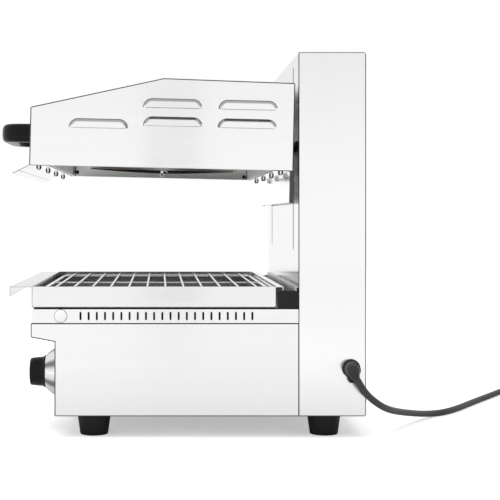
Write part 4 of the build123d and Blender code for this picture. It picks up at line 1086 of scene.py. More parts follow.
@dataclass
class Head:
    """The moving hood with its liner, lips, elements, nuts and handle."""

    side_x: float = 0.225
    louvre_foot: float = 0.0011
    # limits of the normals of the louvre flanks that get painted shade
    flank_lean: float = 0.93
    flank_rise: float = 0.2
    flank_front: float = 0.35
    # the visor's bend, and the half width of the grey painted shade line along it
    visor_bend: float = 0.0130
    visor_line: float = 0.0005
    element_radius: float = 0.004
    element_rise: float = 0.016
    bend_x: float = -0.148
    terminal_x: float = 0.213
    leg_pairs: tuple[tuple[float, float], ...] = ((0.062, 0.165), (0.186, 0.289))
    nut_depths: tuple[float, float] = (0.0111, 0.3276)
    nut_columns: tuple[float, ...] = (-0.205, -0.0685, 0.0685, 0.205)
    nut_rise: float = -0.001
    nut_middle_rise: float = -0.003
    grip_rise: float = 0.051
    grip_half: float = 0.066
    grip_reach: float = 0.0586
    grip_foot: float = -0.0008
    grip_slant: float = 0.004
    grip_inset: float = 0.0095
    grip_bend: float = 0.024
    foot_height: float = 0.021
    grip_section: Point = (0.0094, 0.0132, 0.0)
    foot_flare: Point = (0.0034, 0.0044, -0.0019)

    def build(self) -> None:
        """Builds every piece of the head."""
        self.sheets()
        self.elements()
        BendSupport().build()
        self.nuts()
        self.grip()

    def sheets(self) -> None:
        """Dresses the hood, liner, visor and skirt."""
        for node, finish, slot, edge in (
            ("hood", HOOD_SHEET, "brushed_stainless", 0.0),
            ("head_liner", LINER_SHEET, "liner_steel", 0.0),
            ("visor", VISOR_SHEET, "brushed_stainless", 0.0004),
            ("rear_skirt", HOOD_SHEET, "brushed_stainless", 0.0004),
        ):
            mesh = merged_copy(node)
            more = [FOLD_PAINTED_SHADE]
            if node == "hood":
                # the hood's folds get the near-black painted edge shade
                cut_across(mesh, 0, [side * (self.side_x + self.louvre_foot) for side in (-1, 1)])
                paint_fold_shade(mesh, self.side_x, 0.99, slot=2)
                self.paint_louvre_shade(mesh)
                more = [LOUVRE_PAINTED_SHADE, FOLD_PAINTED_SHADE]
            if node == "visor":
                # a thin band along the visor's bend gets the grey painted shade
                bend = HEAD.front_y - self.visor_bend
                cut_across(mesh, 1, [bend - self.visor_line, bend + self.visor_line])
                set_slots(mesh, np.abs(face_arrays(mesh)[0][:, 1] - bend) < self.visor_line, 1)
                more = [LOUVRE_PAINTED_SHADE, FOLD_PAINTED_SHADE]
            if node == "rear_skirt":
                # the skirt's side returns get the near-black painted shade of their shadowed flanks
                set_slots(mesh, np.abs(face_arrays(mesh)[1][:, 0]) > FACING, 1)
            lay_grain(mesh, Grain.FOLDED)
            place(mesh, f"{node}_sheet", "head", finish, [node], crease=28, edge=edge, more=more, flat=True)

    def paint_louvre_shade(self, mesh: bpy.types.Mesh) -> None:
        """Paints shade on the louvres' flanks: the upper ones get a grey that stands for the dark room they mirror, and
        a narrow band at the foot of the upper and front ones gets the near-black painted edge shade.

        A flank is told by its normal: its part along X is under one limit, and it rises or looks forward past others.

        Args:
            mesh: copy of the hood's mesh.
        """
        centres, normals = face_arrays(mesh)
        out = np.abs(centres[:, 0])
        upper = normals[:, 2] > self.flank_rise
        front = normals[:, 1] < -self.flank_front
        flank = (out > self.side_x) & (np.abs(normals[:, 0]) < self.flank_lean) & (normals[:, 2] > -self.flank_rise)
        set_slots(mesh, flank & upper, 1)
        set_slots(mesh, flank & (out < self.side_x + self.louvre_foot) & (upper | front), 2)

    def elements(self) -> None:
        """Two U-shaped tubes: straight legs joined by half a circle, carried round as a rod."""
        for name, (front, rear) in zip(("element_front", "element_rear"), self.leg_pairs):
            radius = (rear - front) / 2
            turn = np.linspace(-np.pi / 2, -3 * np.pi / 2, 40)
            bend = np.stack([self.bend_x + radius * np.cos(turn), (front + rear) / 2 + radius * np.sin(turn)], 1)
            flat = np.concatenate([[(self.terminal_x, front)], bend, [(self.terminal_x, rear)]])
            path = HEAD.at(flat[:, 0], flat[:, 1], self.element_rise)
            grid = round_rod(path, self.element_radius, HEAD.upward, sides=24)
            mesh = Surface.empty().add_grid(grid).mesh(f"{name}_mesh")
            place(mesh, f"{name}_tube", "head", ELEMENT, [name])

    def nuts(self) -> None:
        """Domed nuts: a ring whose radius goes from a hexagon to a circle as it goes down to the crown."""
        turn = np.linspace(0, 2 * np.pi, 48, endpoint=False)
        sixth = np.pi / 3
        hexagon = math.cos(sixth / 2) / np.cos((turn % sixth) - sixth / 2)
        down = np.array([0.0, 0.0003, 0.0022, 0.0026, 0.0028, 0.0036, 0.0043, 0.0047, 0.0049])
        size = np.array([3.75, 3.9, 3.9, 3.6, 3.15, 2.9, 2.2, 1.2, 0.0]) * MM
        corners = np.array([1, 1, 1, 0.6, 0, 0, 0, 0, 0.0])
        radii = size[:, None] * (1 + corners[:, None] * (hexagon[None] - 1))
        nuts = Surface.empty()
        for depth in self.nut_depths:
            for column in self.nut_columns:
                across = column + radii * np.cos(turn)
                behind = depth + radii * np.sin(turn)
                nuts.add_grid(HEAD.at(across, behind, self.nut_rise - down[:, None]))
        mesh = nuts.mesh("nuts_mesh")
        rows = HEAD.at(0.0, np.array(self.nut_depths), self.nut_middle_rise)[:, 1]
        # the nuts get painted reflection: four bright bands round each axis, dark between them
        lay_reflection_bands(mesh, (0, 1), (self.nut_columns, rows.tolist()), 4, 1.5)
        place(mesh, "domed_nuts", "head", NUT_CHROME_PAINTED_REFLECTION, ["acorn_nuts"], crease=28)

    def grip(self) -> None:
        """The bow handle: a flat rounded section along a bow that widens into its two feet."""
        bar = self.grip_inset - self.grip_reach
        corners = [
            (-self.grip_half, self.grip_foot),
            (-self.grip_half + self.grip_slant, bar),
            (self.grip_half - self.grip_slant, bar),
            (self.grip_half, self.grip_foot),
        ]
        flat = rounded_path(corners, self.grip_bend, 18)
        steps = np.linspace(0, 1, 14)[1:-1, None]
        legs = [flat[a] + steps * (flat[b] - flat[a]) for a, b in ((0, 1), (-2, -1))]
        flat = np.concatenate([flat[:1], legs[0], flat[1:-1], legs[1], flat[-1:]])
        path = HEAD.at(flat[:, 0], flat[:, 1], self.grip_rise)
        away = np.clip(-flat[:, 1] / self.foot_height, 0, 1)
        flare = 1 - away * away * (3 - 2 * away)
        widths = np.array(self.grip_section) + flare[:, None] * self.foot_flare
        grid = swept(path, HEAD.upward, widths, squircle(56, 3.0))
        mesh = Surface.empty().add_grid(grid).mesh("handle_mesh")
        place(mesh, "bow_handle", "head", BLACK_GLOSS, ["handle"], crease=50)


@dataclass
class LiftRopes:
    """The straight spans of the counterbalance's wire ropes: each hangs from its pulley and ends at what it carries."""

    rope_x: float = 0.06
    radius: float = 0.00125
    spans: tuple[tuple[str, str, float], ...] = (
        ("rope_head_spans", "head", 0.382),
        ("rope_weight_spans", "counterweight", 0.338),
    )

    def build(self) -> None:
        """Builds each pair of spans as straight wires over the node's height, on no body, with its placement baked into
        its points.
        """
        for node, carrier, grip_z in self.spans:
            low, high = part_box(node)
            rope_y = (low.y + high.y) / 2
            ropes = Surface.empty()
            for x in (-self.rope_x, self.rope_x):
                ropes.add_grid(straight(circle(16) * self.radius + (x, rope_y), (low.z, grip_z, high.z), 2))
            rope = place(ropes.mesh(f"{node}_mesh"), f"{node}_wire", "", ROPE, [node])
            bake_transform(rope)


@dataclass
class Controls:
    """Knob, bezel and pilot lamp on the set-back panel, all turned about axes that point at the user."""

    panel_y: float = -0.1537
    knob_x: float = 0.1435
    lamp_x: float = 0.084
    axis_z: float = 0.077
    toward_user: Point = (0.0, -1.0, 0.0)
    dish_radius: float = 0.034
    dish_rim: float = 0.0012
    dish_top: float = 0.0177
    dish_inward: float = 0.0116
    dish_rise: float = 0.0165
    dish_hollow: Pair = (0.00001, 0.00204)
    collar: tuple[Pair, ...] = (
        (0.0215, 0.0177), (0.013, 0.0177), (0.013, 0.0148), (0.020, 0.0147), (0.0275, 0.0074), (0.0314, 0.0),
    )
    knob: tuple[Pair, ...] = (
        (0.0, 0.018), (0.0212, 0.018), (0.0219, 0.0184), (0.0220, 0.0190), (0.0219, 0.0195), (0.0206, 0.0208),
        (0.0200, 0.0222), (0.0196, 0.0260), (0.0191, 0.0310), (0.0186, 0.0362), (0.0183, 0.0376),
        (0.0176, 0.0386), (0.0164, 0.0391), (0.0120, 0.0396), (0.0060, 0.0399), (0.0, 0.0400),
    )
    lens: tuple[Pair, ...] = (
        (0.0, 0.0015), (0.0056, 0.0015), (0.0056, 0.0028), (0.0052, 0.0036), (0.0042, 0.0043), (0.0026, 0.0048),
        (0.0, 0.0050),
    )
    ring: tuple[Pair, ...] = (
        (0.0, 0.0), (0.0080, 0.0), (0.0080, 0.0014), (0.0076, 0.0019), (0.0058, 0.0020), (0.0, 0.0020),
    )
    pointer_ends: Pair = (0.0035, 0.0158)
    pointer_half: float = 0.0009
    pointer_thick: float = 0.0001
    face_height: float = 0.03995
    face_radius: float = 0.0164
    face_drop: float = 0.0009

    def build(self) -> None:
        """Builds the four turned pieces and the knob's pointer."""
        knob_foot = (self.knob_x, self.panel_y, self.axis_z)
        lamp_foot = (self.lamp_x, self.panel_y, self.axis_z)
        mesh = lathed("bezel_mesh", self.bezel(), [knob_foot], self.toward_user, 96)
        # the bezel gets painted reflection: seven bright bands round its axis, dark between them
        lay_reflection_bands(mesh, (0, 2), ([self.knob_x], [self.axis_z]), 7, 0.5)
        place(mesh, "chrome_bezel", "frame", BEZEL_CHROME_PAINTED_REFLECTION, ["control_bezel"], crease=40)
        mesh = lathed("knob_mesh", self.knob, [knob_foot], self.toward_user, 96)
        place(mesh, "turning_knob", "knob", KNOB_BLACK, ["control_knob"], crease=40)
        self.pointer()
        mesh = lathed("lens_mesh", self.lens, [lamp_foot], self.toward_user, 48)
        place(mesh, "lamp_lens_dome", "frame", LENS, ["pilot_lamp"])
        mesh = lathed("ring_mesh", self.ring, [lamp_foot], self.toward_user, 48)
        place(mesh, "lamp_ring", "frame", CHROME)

    def bezel(self) -> list[Pair]:
        """The bezel's profile: a dish whose hollow follows half a sine wave, then the collar under the knob.

        Returns:
            (radius, distance from the panel) pairs.
        """
        share = np.linspace(0, 1, 16)
        wave = np.sin(np.pi * share)
        radius = self.dish_radius - self.dish_inward * share + self.dish_hollow[0] * wave
        height = np.minimum(self.dish_rim + self.dish_rise * share + self.dish_hollow[1] * wave, self.dish_top)
        return [self.collar[-1], (self.dish_radius, 0.0), *zip(radius.tolist(), height.tolist()), *self.collar]

    def pointer(self) -> None:
        """The painted line on the knob's bowed face: a thin slab from near its centre to its rim."""
        top = np.linspace(*self.pointer_ends, 10)
        half, thick = self.pointer_half, self.pointer_thick
        outline = np.array([(-half, 0.0), (half, 0.0), (half, -thick), (-half, -thick)])
        grid = straight(outline + (self.knob_x, self.panel_y), self.axis_z + top, 2)
        grid[..., 1] -= (self.face_height - self.face_drop * (top / self.face_radius) ** 2)[:, None]
        place(Surface.empty().add_grid(grid).mesh("pointer_mesh"), "knob_pointer", "knob", POINTER)


@dataclass
class TrayAndRack:
    """The sheet tray and the wire rack that stands in it. The lip's section runs rearwards and up from the wall."""

    wire_radius: float = 0.0015
    rim_radius: float = 0.0025
    rack_side: float = 0.213
    front_y: float = -0.1725
    back_y: float = 0.1285
    wall_y: float = -0.1833
    wire_z: float = 0.1932
    rim_z: float = 0.1897
    wire_count: int = 12
    wire_pitch: float = 0.0243
    middle_y: float = -0.0218
    leg_inset: float = 0.030
    leg_radius: float = 0.002
    corner_radius: float = 0.018
    wire_overhang: float = 0.0008
    lip_inset: float = 0.0004
    # the painted inside shade: how high the floor faces reach, and how far below the rim it stops
    floor_band: float = 0.004
    rim_band: float = 0.0002
    lip: tuple[Pair, ...] = (
        (-0.0012, 0.0), (0.0082, 0.0), (0.0088, -0.0003), (0.0090, -0.0008), (0.0090, -0.0050),
        (0.0082, -0.0050), (0.0081, -0.0012), (0.0078, -0.0009), (-0.0012, -0.0009),
    )

    def build(self) -> None:
        """Builds the tray's sheet and the rack's wires."""
        mesh = merged_copy("drip_tray")
        lay_grain(mesh, Grain.DEEP)
        # the tray's inside gets the dark grey painted shade
        self.paint_inside_shade(mesh)
        # the tray's folds and roundings get the near-black painted edge shade
        paint_fold_shade(mesh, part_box("drip_tray")[1].x, 0.8, slot=2)
        place(
            mesh, "tray_sheet_piece", "tray", TRAY_SHEET, ["drip_tray"],
            edge=0.0004, more=[TRAY_INSIDE_PAINTED_SHADE, FOLD_PAINTED_SHADE], flat=True,
        )
        self.rear_lip()
        self.rack()

    def rear_lip(self) -> None:
        """The tray's folded rear lip: a thin section carried straight across from side to side."""
        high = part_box("drip_tray")[1]
        across = np.array([-1.0, -0.999, 0.999, 1.0]) * (high.x - self.lip_inset)
        lip = Surface.empty().add_grid(straight(np.array(self.lip) + (high.y, high.z), across, 0))
        place(lip.mesh("lip_mesh"), "tray_rear_lip", "tray", TRAY_SHEET, more=[FOLD_PAINTED_SHADE])

    def paint_inside_shade(self, mesh: bpy.types.Mesh) -> None:
        """Paints shade inside the tray: faces below the rim that look towards the tray's middle or up from its floor
        get a dark grey that stands for its shaded, dark-mirroring inside.

        Args:
            mesh: copy of the tray's mesh.
        """
        centres, normals = face_arrays(mesh)
        low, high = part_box("drip_tray")
        middle = np.array([0.0, (self.front_y + self.back_y) / 2])
        inward = ((middle - centres[:, :2]) * normals[:, :2]).sum(1) > 0.002
        floor = (normals[:, 2] > 0.5) & (centres[:, 2] < low.z + self.floor_band)
        between_ends = (centres[:, 1] > self.wall_y) & (centres[:, 1] < self.back_y)
        inside = (inward | floor) & between_ends & (centres[:, 2] < high.z - self.rim_band)
        mesh.polygons.foreach_set("material_index", inside.astype(np.int32))

    def rack(self) -> None:
        """A ring of rod, crosswires with tapered ends on it, one long support rod and four legs."""
        side, front, back = self.rack_side, self.front_y, self.back_y
        corners = [(-side, front), (side, front), (side, back), (-side, back)]
        ring = rounded_path(corners, self.corner_radius, 12, closed=True)
        path = np.column_stack([ring, np.full(len(ring), self.rim_z)])
        wires = Surface.empty().add_grid(round_rod(path, self.rim_radius, (0, 0, 1), True), close_rows=True)
        first = self.middle_y - self.wire_pitch * (self.wire_count - 1) / 2
        reach = side + self.wire_overhang
        tip = self.wire_radius * 0.6
        sizes = np.tile([self.wire_radius, self.wire_radius, 0.0], (4, 1))
        sizes[[0, 3], :2] *= 0.5
        for index in range(self.wire_count):
            y = first + index * self.wire_pitch
            ends = np.array([(x, y, self.wire_z) for x in (-reach, -reach + tip, reach - tip, reach)])
            wires.add_grid(swept(ends, (0, 0, 1), sizes, circle(14)))
        support = np.array([(0.0, front, self.rim_z), (0.0, back, self.rim_z)])
        wires.add_grid(round_rod(support, self.leg_radius, (0, 0, 1), sides=14))
        floor_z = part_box("rack_legs")[0].z
        radius, height = self.leg_radius, self.rim_z - floor_z
        leg = [(0.0, 0.0), (radius * 0.7, 0.0), (radius, 0.0006), (radius, height), (0.0, height)]
        for x in (-side, side):
            for y in (front + self.leg_inset, back - self.leg_inset):
                wires.add_grid(turned(leg, (x, y, floor_z), (0, 0, 1), 16), caps=False)
        place(wires.mesh("rack_mesh"), "rack_wires", "rack", WIRE, ["wire_rack", "rack_legs"])


@dataclass
class SmallParts:
    """Feet, plugs, screws and the pieces that only need a finish."""

    foot_places: tuple[tuple[str, float, float], ...] = (
        ("foot_front_left", -0.188, -0.104),
        ("foot_front_right", 0.188, -0.104),
        ("foot_rear_left", -0.188, 0.1998),
        ("foot_rear_right", 0.188, 0.1998),
    )
    foot: tuple[Pair, ...] = (
        (0.008, 0.012), (0.008, 0.0), (0.0168, 0.0), (0.0181, 0.0005), (0.0186, 0.0018), (0.0220, 0.0262),
        (0.0219, 0.0279), (0.0212, 0.0285), (0.0032, 0.0285), (0.0032, 0.012), (0.008, 0.012),
    )
    dome: tuple[Pair, ...] = (
        (0.0, -0.0030), (0.0065, -0.0030), (0.0065, 0.0), (0.0087, 0.0), (0.0086, 0.0005), (0.0080, 0.0010),
        (0.0066, 0.00138), (0.0040, 0.00155), (0.0, 0.0016),
    )
    # radius beyond which a dome gets its grey painted shade outline
    dome_rim: float = 0.0078
    screw_x: float = 0.216
    screw_heights: tuple[float, ...] = (0.048, 0.263, 0.484)
    cover_y: float = 0.250
    cross_arm: float = 0.42 * MM
    cross_reach: float = 2.0 * MM
    cross_depth: float = 0.9 * MM

    def build(self) -> None:
        """Builds feet, domes and screws, and dresses the rest of the frame's nodes."""
        for name, x, y in self.foot_places:
            mesh = lathed(f"{name}_mesh", self.foot, [(x, y, 0.0)], (0, 0, 1), 72)
            place(mesh, f"{name}_rubber", "frame", FOOT_RUBBER, [name], crease=40)
        self.domes()
        self.cover_screws()
        for node, finish in PLAIN_NODES.items():
            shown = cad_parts[node]
            shown.data.materials.clear()
            shown.data.materials.append(finish.material())

    def domes(self) -> None:
        """White domes that close the band's spare holes, one on each side, with a grey painted shade outline round
        their rims.
        """
        low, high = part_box("hole_plugs")
        middle = (low + high) / 2
        domes = Surface.empty()
        for side in (-1, 1):
            foot = (side * (high.x - self.dome[-1][1]), middle.y, middle.z)
            domes.add_grid(turned(self.dome, foot, (side, 0, 0), 56), caps=False)
        mesh = domes.mesh("domes_mesh")
        centres, _ = face_arrays(mesh)
        from_axis = np.hypot(centres[:, 1] - middle.y, centres[:, 2] - middle.z)
        # faces beyond the rim radius get the grey painted shade outline
        set_slots(mesh, from_axis > self.dome_rim, 1)
        place(mesh, "hole_domes", "frame", WHITE_DOME, ["hole_plugs"], more=[DOME_RIM_PAINTED_SHADE])

    def cover_screws(self) -> None:
        """Pan heads with a cross recess: the height is a dome minus a pit where either arm of the cross is."""
        turn = np.linspace(0, 2 * np.pi, 72, endpoint=False)
        radius = np.array([3.6, 3.6, 3.45, 3.0, 2.5, 2.1, 1.8, 1.4, 1.0, 0.7, 0.45, 0.2, 0.0]) * MM
        rise = np.array([0.0, 0.5, 0.9, 1.18, 1.3, 1.34, 1.36, 1.38, 1.39, 1.39, 1.39, 1.39, 1.39]) * MM
        across = radius[:, None] * np.cos(turn)
        up = radius[:, None] * np.sin(turn)
        arm = np.minimum(np.abs(across), np.abs(up)) < self.cross_arm
        pit = np.where(arm & (radius[:, None] < self.cross_reach), self.cross_depth, 0.0)
        height = rise[:, None] - pit
        screws = Surface.empty()
        for x in (-self.screw_x, self.screw_x):
            for z in self.screw_heights:
                screws.add_grid(np.stack([x + across, self.cover_y + height, z + up], -1))
        mesh = screws.mesh("screws_mesh")
        place(mesh, "cover_screw_heads", "frame", FASTENER, ["rear_cover_screws"], crease=30)


PLAIN_NODES: dict[str, Finish] = {
    "foot_screws": FASTENER,
    "guide_rod_left": GROUND,
    "guide_rod_right": GROUND,
    "weight_guides": GROUND,
    "rod_bracket_bottom": ZINC,
    "rod_bracket_top": ZINC,
    "pulley_brackets": ZINC,
    "pulley_axles": GROUND,
    "pulley_left": NYLON,
    "pulley_right": NYLON,
    "rope_wraps": ROPE,
    "lift_buffers": FOOT_RUBBER,
    "energy_regulator": PHENOLIC,
    "terminal_block": PHENOLIC,
    "supply_tail": JACKET,
    "regulator_leads": SLEEVING,
    "element_clips": ZINC,
    "element_terminals": CERAMIC,
    "handle_screws": FASTENER,
    "lift_arm_left": ZINC,
    "lift_arm_right": ZINC,
    "carriage_plate": ZINC,
    "bush_blocks": ZINC,
    "guide_bushes": BRONZE,
    "rope_anchors": ZINC,
    "counterweight": IRON,
    "regulator_spindle": GROUND,
}


# ---------------------------------------------------------------- cord
@dataclass
class SupplyCord:
    """The mains cord: out of its gland, over the floor, wound up beside the object, to its plug.

    The plug's stations and half widths are in millimetres; the taper is a start and a length along it.
    """

    diameter: float = 0.009
    route: tuple[Point, ...] = (
        (0.2520, 0.2328, 0.0815),
        (0.2493, 0.2411, 0.0671),
        (0.2417, 0.2533, 0.0535),
        (0.2173, 0.2764, 0.0369),
        (0.1425, 0.3124, 0.0207),
        (0.0552, 0.3664, 0.0046),
        (0.0274, 0.4042, 0.0046),
        (-0.0740, 0.4659, 0.0046),
        (-0.1380, 0.5070, 0.0046),
        (-0.1960, 0.5420, 0.0046),
        (-0.2260, 0.5960, 0.0046),
    )
    inner: float = 0.038
    pitch: float = 0.0096
    turns: int = 2
    per_turn: int = 16
    length: float = 1.96
    plug_widths: tuple[Pair, ...] = (
        (0, 5.2), (2, 5.5), (4, 5.2), (6, 5.7), (8, 5.4), (10, 6.0), (12, 5.7), (14, 6.3), (16, 6.0), (18, 6.6),
        (20, 6.3), (22, 7.0), (24, 6.6), (26, 7.3), (29, 7.6), (31, 8.2), (33, 10.5), (36, 13), (40, 16), (45, 18),
        (49, 18.8), (58, 18.9), (65, 18.6), (67, 17.6), (68, 16.0),
    )
    plug_taper: Pair = (0.029, 0.020)
    plug_squareness: float = 1.6
    plug_end_drop: Pair = (0.0008, 0.0022)
    pin_spacing: float = 0.019
    pin: tuple[Pair, ...] = (
        (0.0, 0.0), (0.0024, 0.0), (0.0024, 0.0170), (0.0021, 0.0182), (0.0012, 0.0188), (0.0, 0.0190),
    )

    def heading(self) -> tuple[np.ndarray, np.ndarray, np.ndarray]:
        """The route's last point, its heading there, and the direction to its right.

        Returns:
            The point and the two directions of length 1.
        """
        last, before = np.array(self.route[-1]), np.array(self.route[-2])
        ahead = (last - before) / np.linalg.norm(last - before)
        return last, ahead, np.array((ahead[1], -ahead[0], 0.0))

    def winding(self) -> np.ndarray:
        """The coil's points: the radius shrinks by a pitch a turn, turns back while it climbs, and grows again.

        Returns:
            Points (n, 3) for the curve.
        """
        last, ahead, right = self.heading()
        outer = self.inner + self.turns * self.pitch
        centre = last + ahead * self.diameter + right * outer
        total = 2 * self.turns + 0.5
        turn = np.arange(0, total + 1e-9, 1 / self.per_turn)
        share = np.clip((turn - self.turns) / 0.5, 0, 1)
        radius = np.where(
            turn < self.turns,
            outer - self.pitch * turn,
            np.where(
                turn < self.turns + 0.5,
                self.inner - self.pitch / 2 * np.sin(np.pi * share) / np.pi,
                self.inner + self.pitch * (turn - self.turns - 0.5),
            ),
        ) / math.cos(math.pi / self.per_turn)
        rise = self.pitch * share * share * (3 - 2 * share)
        angle = 2 * np.pi * turn
        flat = centre - right * (radius * np.cos(angle))[:, None] + ahead * (radius * np.sin(angle))[:, None]
        flat[:, 2] = last[2] + rise
        return flat

    def build(self) -> None:
        """Builds the cord as one smooth curve, its gland and its plug."""
        _, ahead, _ = self.heading()
        coil = self.winding()
        tail = coil[-1] - ahead * self.diameter
        points = np.concatenate([np.array(self.route), coil, tail[None]])
        curve = bpy.data.curves.new("cord_line", "CURVE")
        curve.dimensions = "3D"
        spline = curve.splines.new("NURBS")
        spline.points.add(len(points) - 1)
        spline.points.foreach_set("co", np.column_stack([points, np.ones(len(points))]).ravel())
        spline.order_u = 3
        spline.use_endpoint_u = True
        spline.resolution_u = 10
        curve.bevel_depth = self.diameter / 2
        curve.bevel_resolution = 5
        curve.use_fill_caps = True
        curve.materials.append(JACKET.material())
        cord = bpy.data.objects.new("mains_cord", curve)
        bpy.context.scene.collection.objects.link(cord)
        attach(cord, "frame")
        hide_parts("power_cord", "cord_coil")
        gland = self.gland()
        body, pins = self.plug(tail, -ahead)
        LOG.info("mains_cord on frame, %d control points", len(points))

    def gland(self) -> bpy.types.Object:
        """The elbow gland at the column's side."""
        mesh = merged_copy("cable_gland")
        return place(
            mesh, "elbow_gland", "frame", PLUG_BLACK, ["cable_gland"], crease=40, edge=0.0004,
        )

    def plug(self, start: np.ndarray, along: np.ndarray) -> tuple[bpy.types.Object, bpy.types.Object]:
        """The moulded plug: sections from a ringed taper to a flat body, and two turned pins.

        Args:
            start: where the cord enters.
            along: direction from the cord to the pins.

        Returns:
            The body and the pins.
        """
        aside = np.array((-along[1], along[0], 0.0))
        up = np.array((0.0, 0.0, 1.0))
        half_height = start[2]
        stations, width = np.array(self.plug_widths).T * MM
        share = np.clip((stations - self.plug_taper[0]) / self.plug_taper[1], 0, 1)[:, None]
        height = width[:, None] * (1 - share) + half_height * share
        height = np.minimum(height, half_height - 0.0001)
        height[-2:, 0] -= self.plug_end_drop
        shape = squircle(64, 2 + self.plug_squareness * share[..., None])
        reach, rise = shape[..., 0] * width[:, None], shape[..., 1] * height
        centre = start + stations[:, None] * along
        grid = centre[:, None] + aside * reach[..., None] + up * rise[..., None]
        mesh = Surface.empty().add_grid(grid).mesh("plug_mesh")
        body = place(mesh, "moulded_plug", "frame", PLUG_BLACK, ["mains_plug"], crease=45)
        end = start + along * stations[-1]
        feet = [tuple(end + aside * side * self.pin_spacing) for side in (-0.5, 0.5)]
        mesh = lathed("pins_mesh", self.pin, feet, tuple(along), 28)
        return body, place(mesh, "plug_pins", "frame", PIN_METAL)


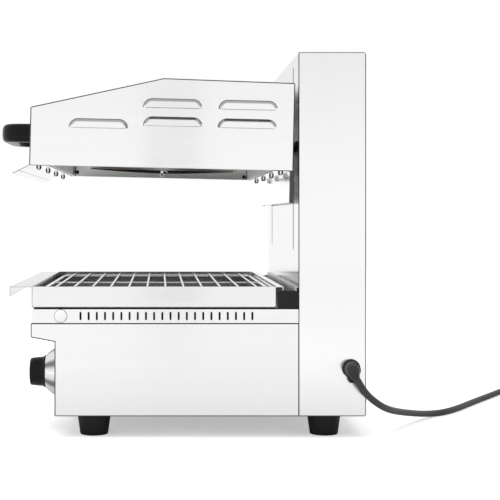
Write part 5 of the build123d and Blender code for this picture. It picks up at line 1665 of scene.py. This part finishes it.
# ---------------------------------------------------------------- studio
@dataclass
class Studio:
    """Pale floor, white surround, soft lamps and the photograph's camera.

    Each Span gives two distances from the middle, or two sines of height in the sky, and the values at them.
    A softbox has a name, a place, a point that it looks at, a size and a power in watts.
    """

    camera_place: Point = (1.855, -0.0169, 0.2866)
    focal_pixels: float = 1259.0
    image_pixels: float = 500.0
    sensor: float = 36.0
    axis_pixel: Pair = (160.0, 217.0)
    floor_reach: float = 5.0
    floor_glow: float = 0.42
    # painted light and painted shadow of the floor, seen only in reflections
    floor_painted_glow_mirrored: Span = (1.2, 3.0, 0.03, 0.25)
    floor_painted_shade_mirrored: Span = (0.30, 1.2, 0.27, 0.0)
    sky_light: float = 0.72
    sky_dimmed: Span = (0.03, 0.13, 0.0, 0.13)
    floor_tones: Pair = (0.93, 0.95)
    softboxes: tuple[tuple[str, Point, Point, float, float], ...] = (
        ("softbox_top", (0.5, -0.3, 2.1), (0.0, 0.0, 0.2), 1.8, 22.0),
        ("softbox_front", (1.3, -1.9, 1.2), (0.0, 0.0, 0.25), 1.2, 7.0),
    )
    card_grey: float = 0.84
    card_x: float = 1.95
    card_sides: Pair = (-0.06, 0.09)
    card_heights: Pair = (0.02, 0.9)

    def build(self) -> None:
        """Sets the whole studio up."""
        self.camera()
        self.surround()
        self.floor()
        self.lamps()
        self.card()
        bpy.context.scene.view_settings.view_transform = "Standard"

    def camera(self) -> None:
        """A long lens that looks along -X, with its view shifted as the photograph's is."""
        lens = bpy.data.cameras.new("camera")
        lens.sensor_width = self.sensor
        lens.lens = self.sensor * self.focal_pixels / self.image_pixels
        lens.shift_x = 0.5 - self.axis_pixel[0] / self.image_pixels
        lens.shift_y = self.axis_pixel[1] / self.image_pixels - 0.5
        lens.clip_start, lens.clip_end = 0.05, 40
        camera = bpy.data.objects.new("camera", lens)
        camera.location = self.camera_place
        camera.rotation_euler = (math.pi / 2, 0, math.pi / 2)
        bpy.context.scene.collection.objects.link(camera)
        bpy.context.scene.camera = camera

    def surround(self) -> None:
        """White where it is seen, a little greyer upwards in mirrors, and softer as a light on matt surfaces."""
        world = bpy.data.worlds.new("surround")
        bpy.context.scene.world = world
        world.use_nodes = True
        wiring = Wiring(world.node_tree)
        glow = wiring.tree.nodes["Background"]
        glow.inputs["Color"].default_value = (1, 1, 1, 1)
        rays = wiring.node("ShaderNodeLightPath").outputs
        seen = wiring.math("MAXIMUM", rays["Is Camera Ray"], rays["Is Glossy Ray"])
        seen = wiring.math("MAXIMUM", seen, rays["Is Transmission Ray"])
        strength = wiring.spread(seen, (0.0, 1.0, self.sky_light, 1.0))
        direction = wiring.node("ShaderNodeTexCoord").outputs["Object"]
        height = wiring.node("ShaderNodeSeparateXYZ", Vector=direction).outputs["Z"]
        dimming = wiring.math("MULTIPLY", rays["Is Glossy Ray"], wiring.spread(height, self.sky_dimmed))
        wiring.feed(glow.inputs["Strength"], wiring.math("SUBTRACT", strength, dimming))

    def slab(self, name: str, corners: Sequence[Point], material: bpy.types.Material) -> bpy.types.Object:
        """A flat four-cornered piece of the studio.

        Args:
            name: name of the piece.
            corners: its corners in order.
            material: its material.

        Returns:
            The object.
        """
        mesh = bpy.data.meshes.new(name)
        mesh.from_pydata(list(corners), [], [(0, 1, 2, 3)])
        mesh.materials.append(material)
        made = bpy.data.objects.new(name, mesh)
        bpy.context.scene.collection.objects.link(made)
        return made

    def floor(self) -> None:
        """A white matt floor that takes the object's shadow; for glossy rays it is greyer close by, a painted shadow,
        and glows more far off, painted light.
        """
        recipe = Recipe("floor_white")
        spot = recipe.object_place()
        clouds = recipe.noise(spot, 1.2, 2)
        rays = recipe.node("ShaderNodeLightPath").outputs
        distance = recipe.node("ShaderNodeVectorMath", Vector=spot)
        distance.operation = "LENGTH"
        away = distance.outputs["Value"]
        # painted light: far off, the floor glows more for glossy rays
        mirrored = recipe.math("MULTIPLY", rays["Is Glossy Ray"], recipe.spread(away, self.floor_painted_glow_mirrored))
        glow = recipe.math("MULTIPLY_ADD", rays["Is Camera Ray"], self.floor_glow, mirrored)
        # painted shadow: close by, the floor is darker for glossy rays
        dimming = recipe.math("MULTIPLY", rays["Is Glossy Ray"], recipe.spread(away, self.floor_painted_shade_mirrored))
        tone = recipe.node("ShaderNodeMix")
        tone.data_type = "RGBA"
        darker, lighter = ((grey,) * 3 for grey in self.floor_tones)
        white = recipe.blend(clouds, darker, lighter)
        for index, value in ((0, dimming), (6, white), (7, (0.0, 0.0, 0.0, 1.0))):
            recipe.feed(tone.inputs[index], value)
        recipe.set(
            Base_Color=tone.outputs[2],
            Roughness=0.9,
            Specular_IOR_Level=0.0,
            Emission_Color=(1, 1, 1, 1),
            Emission_Strength=glow,
        )
        corners = [(x * self.floor_reach, y * self.floor_reach, 0) for x, y in ((-1, -1), (1, -1), (1, 1), (-1, 1))]
        self.slab("floor", corners, recipe.made)

    def lamps(self) -> None:
        """A wide softbox overhead and a weaker one at the user's side."""
        for name, spot, aim, size, power in self.softboxes:
            light = bpy.data.lights.new(name, "AREA")
            light.size = size
            light.energy = power
            lamp = bpy.data.objects.new(name, light)
            lamp.location = spot
            lamp.rotation_mode = "QUATERNION"
            lamp.rotation_quaternion = (Vector(aim) - Vector(spot)).to_track_quat("-Z", "Y")
            lamp.visible_camera = lamp.visible_glossy = False
            bpy.context.scene.collection.objects.link(lamp)

    def card(self) -> None:
        """A pale card behind the camera that only mirrors see."""
        recipe = Recipe("card_camera_grey")
        recipe.set(Base_Color=(*[self.card_grey] * 3, 1), Roughness=0.9, Specular_IOR_Level=0.0)
        (left, right), (low, high) = self.card_sides, self.card_heights
        corners = [(self.card_x, y, z) for y, z in ((left, low), (right, low), (right, high), (left, high))]
        card = self.slab("card_camera", corners, recipe.made)
        card.visible_camera = card.visible_diffuse = card.visible_shadow = False


def main() -> None:
    """Builds the studio and the cord first, then the sub-assemblies."""
    logging.basicConfig(level=logging.INFO, format="%(name)s: %(message)s")
    for part in (Studio(), SupplyCord(), SheetBody(), Head(), LiftRopes(), Controls(), TrayAndRack(), SmallParts()):
        part.build()


if __name__ == "__main__":
    main()
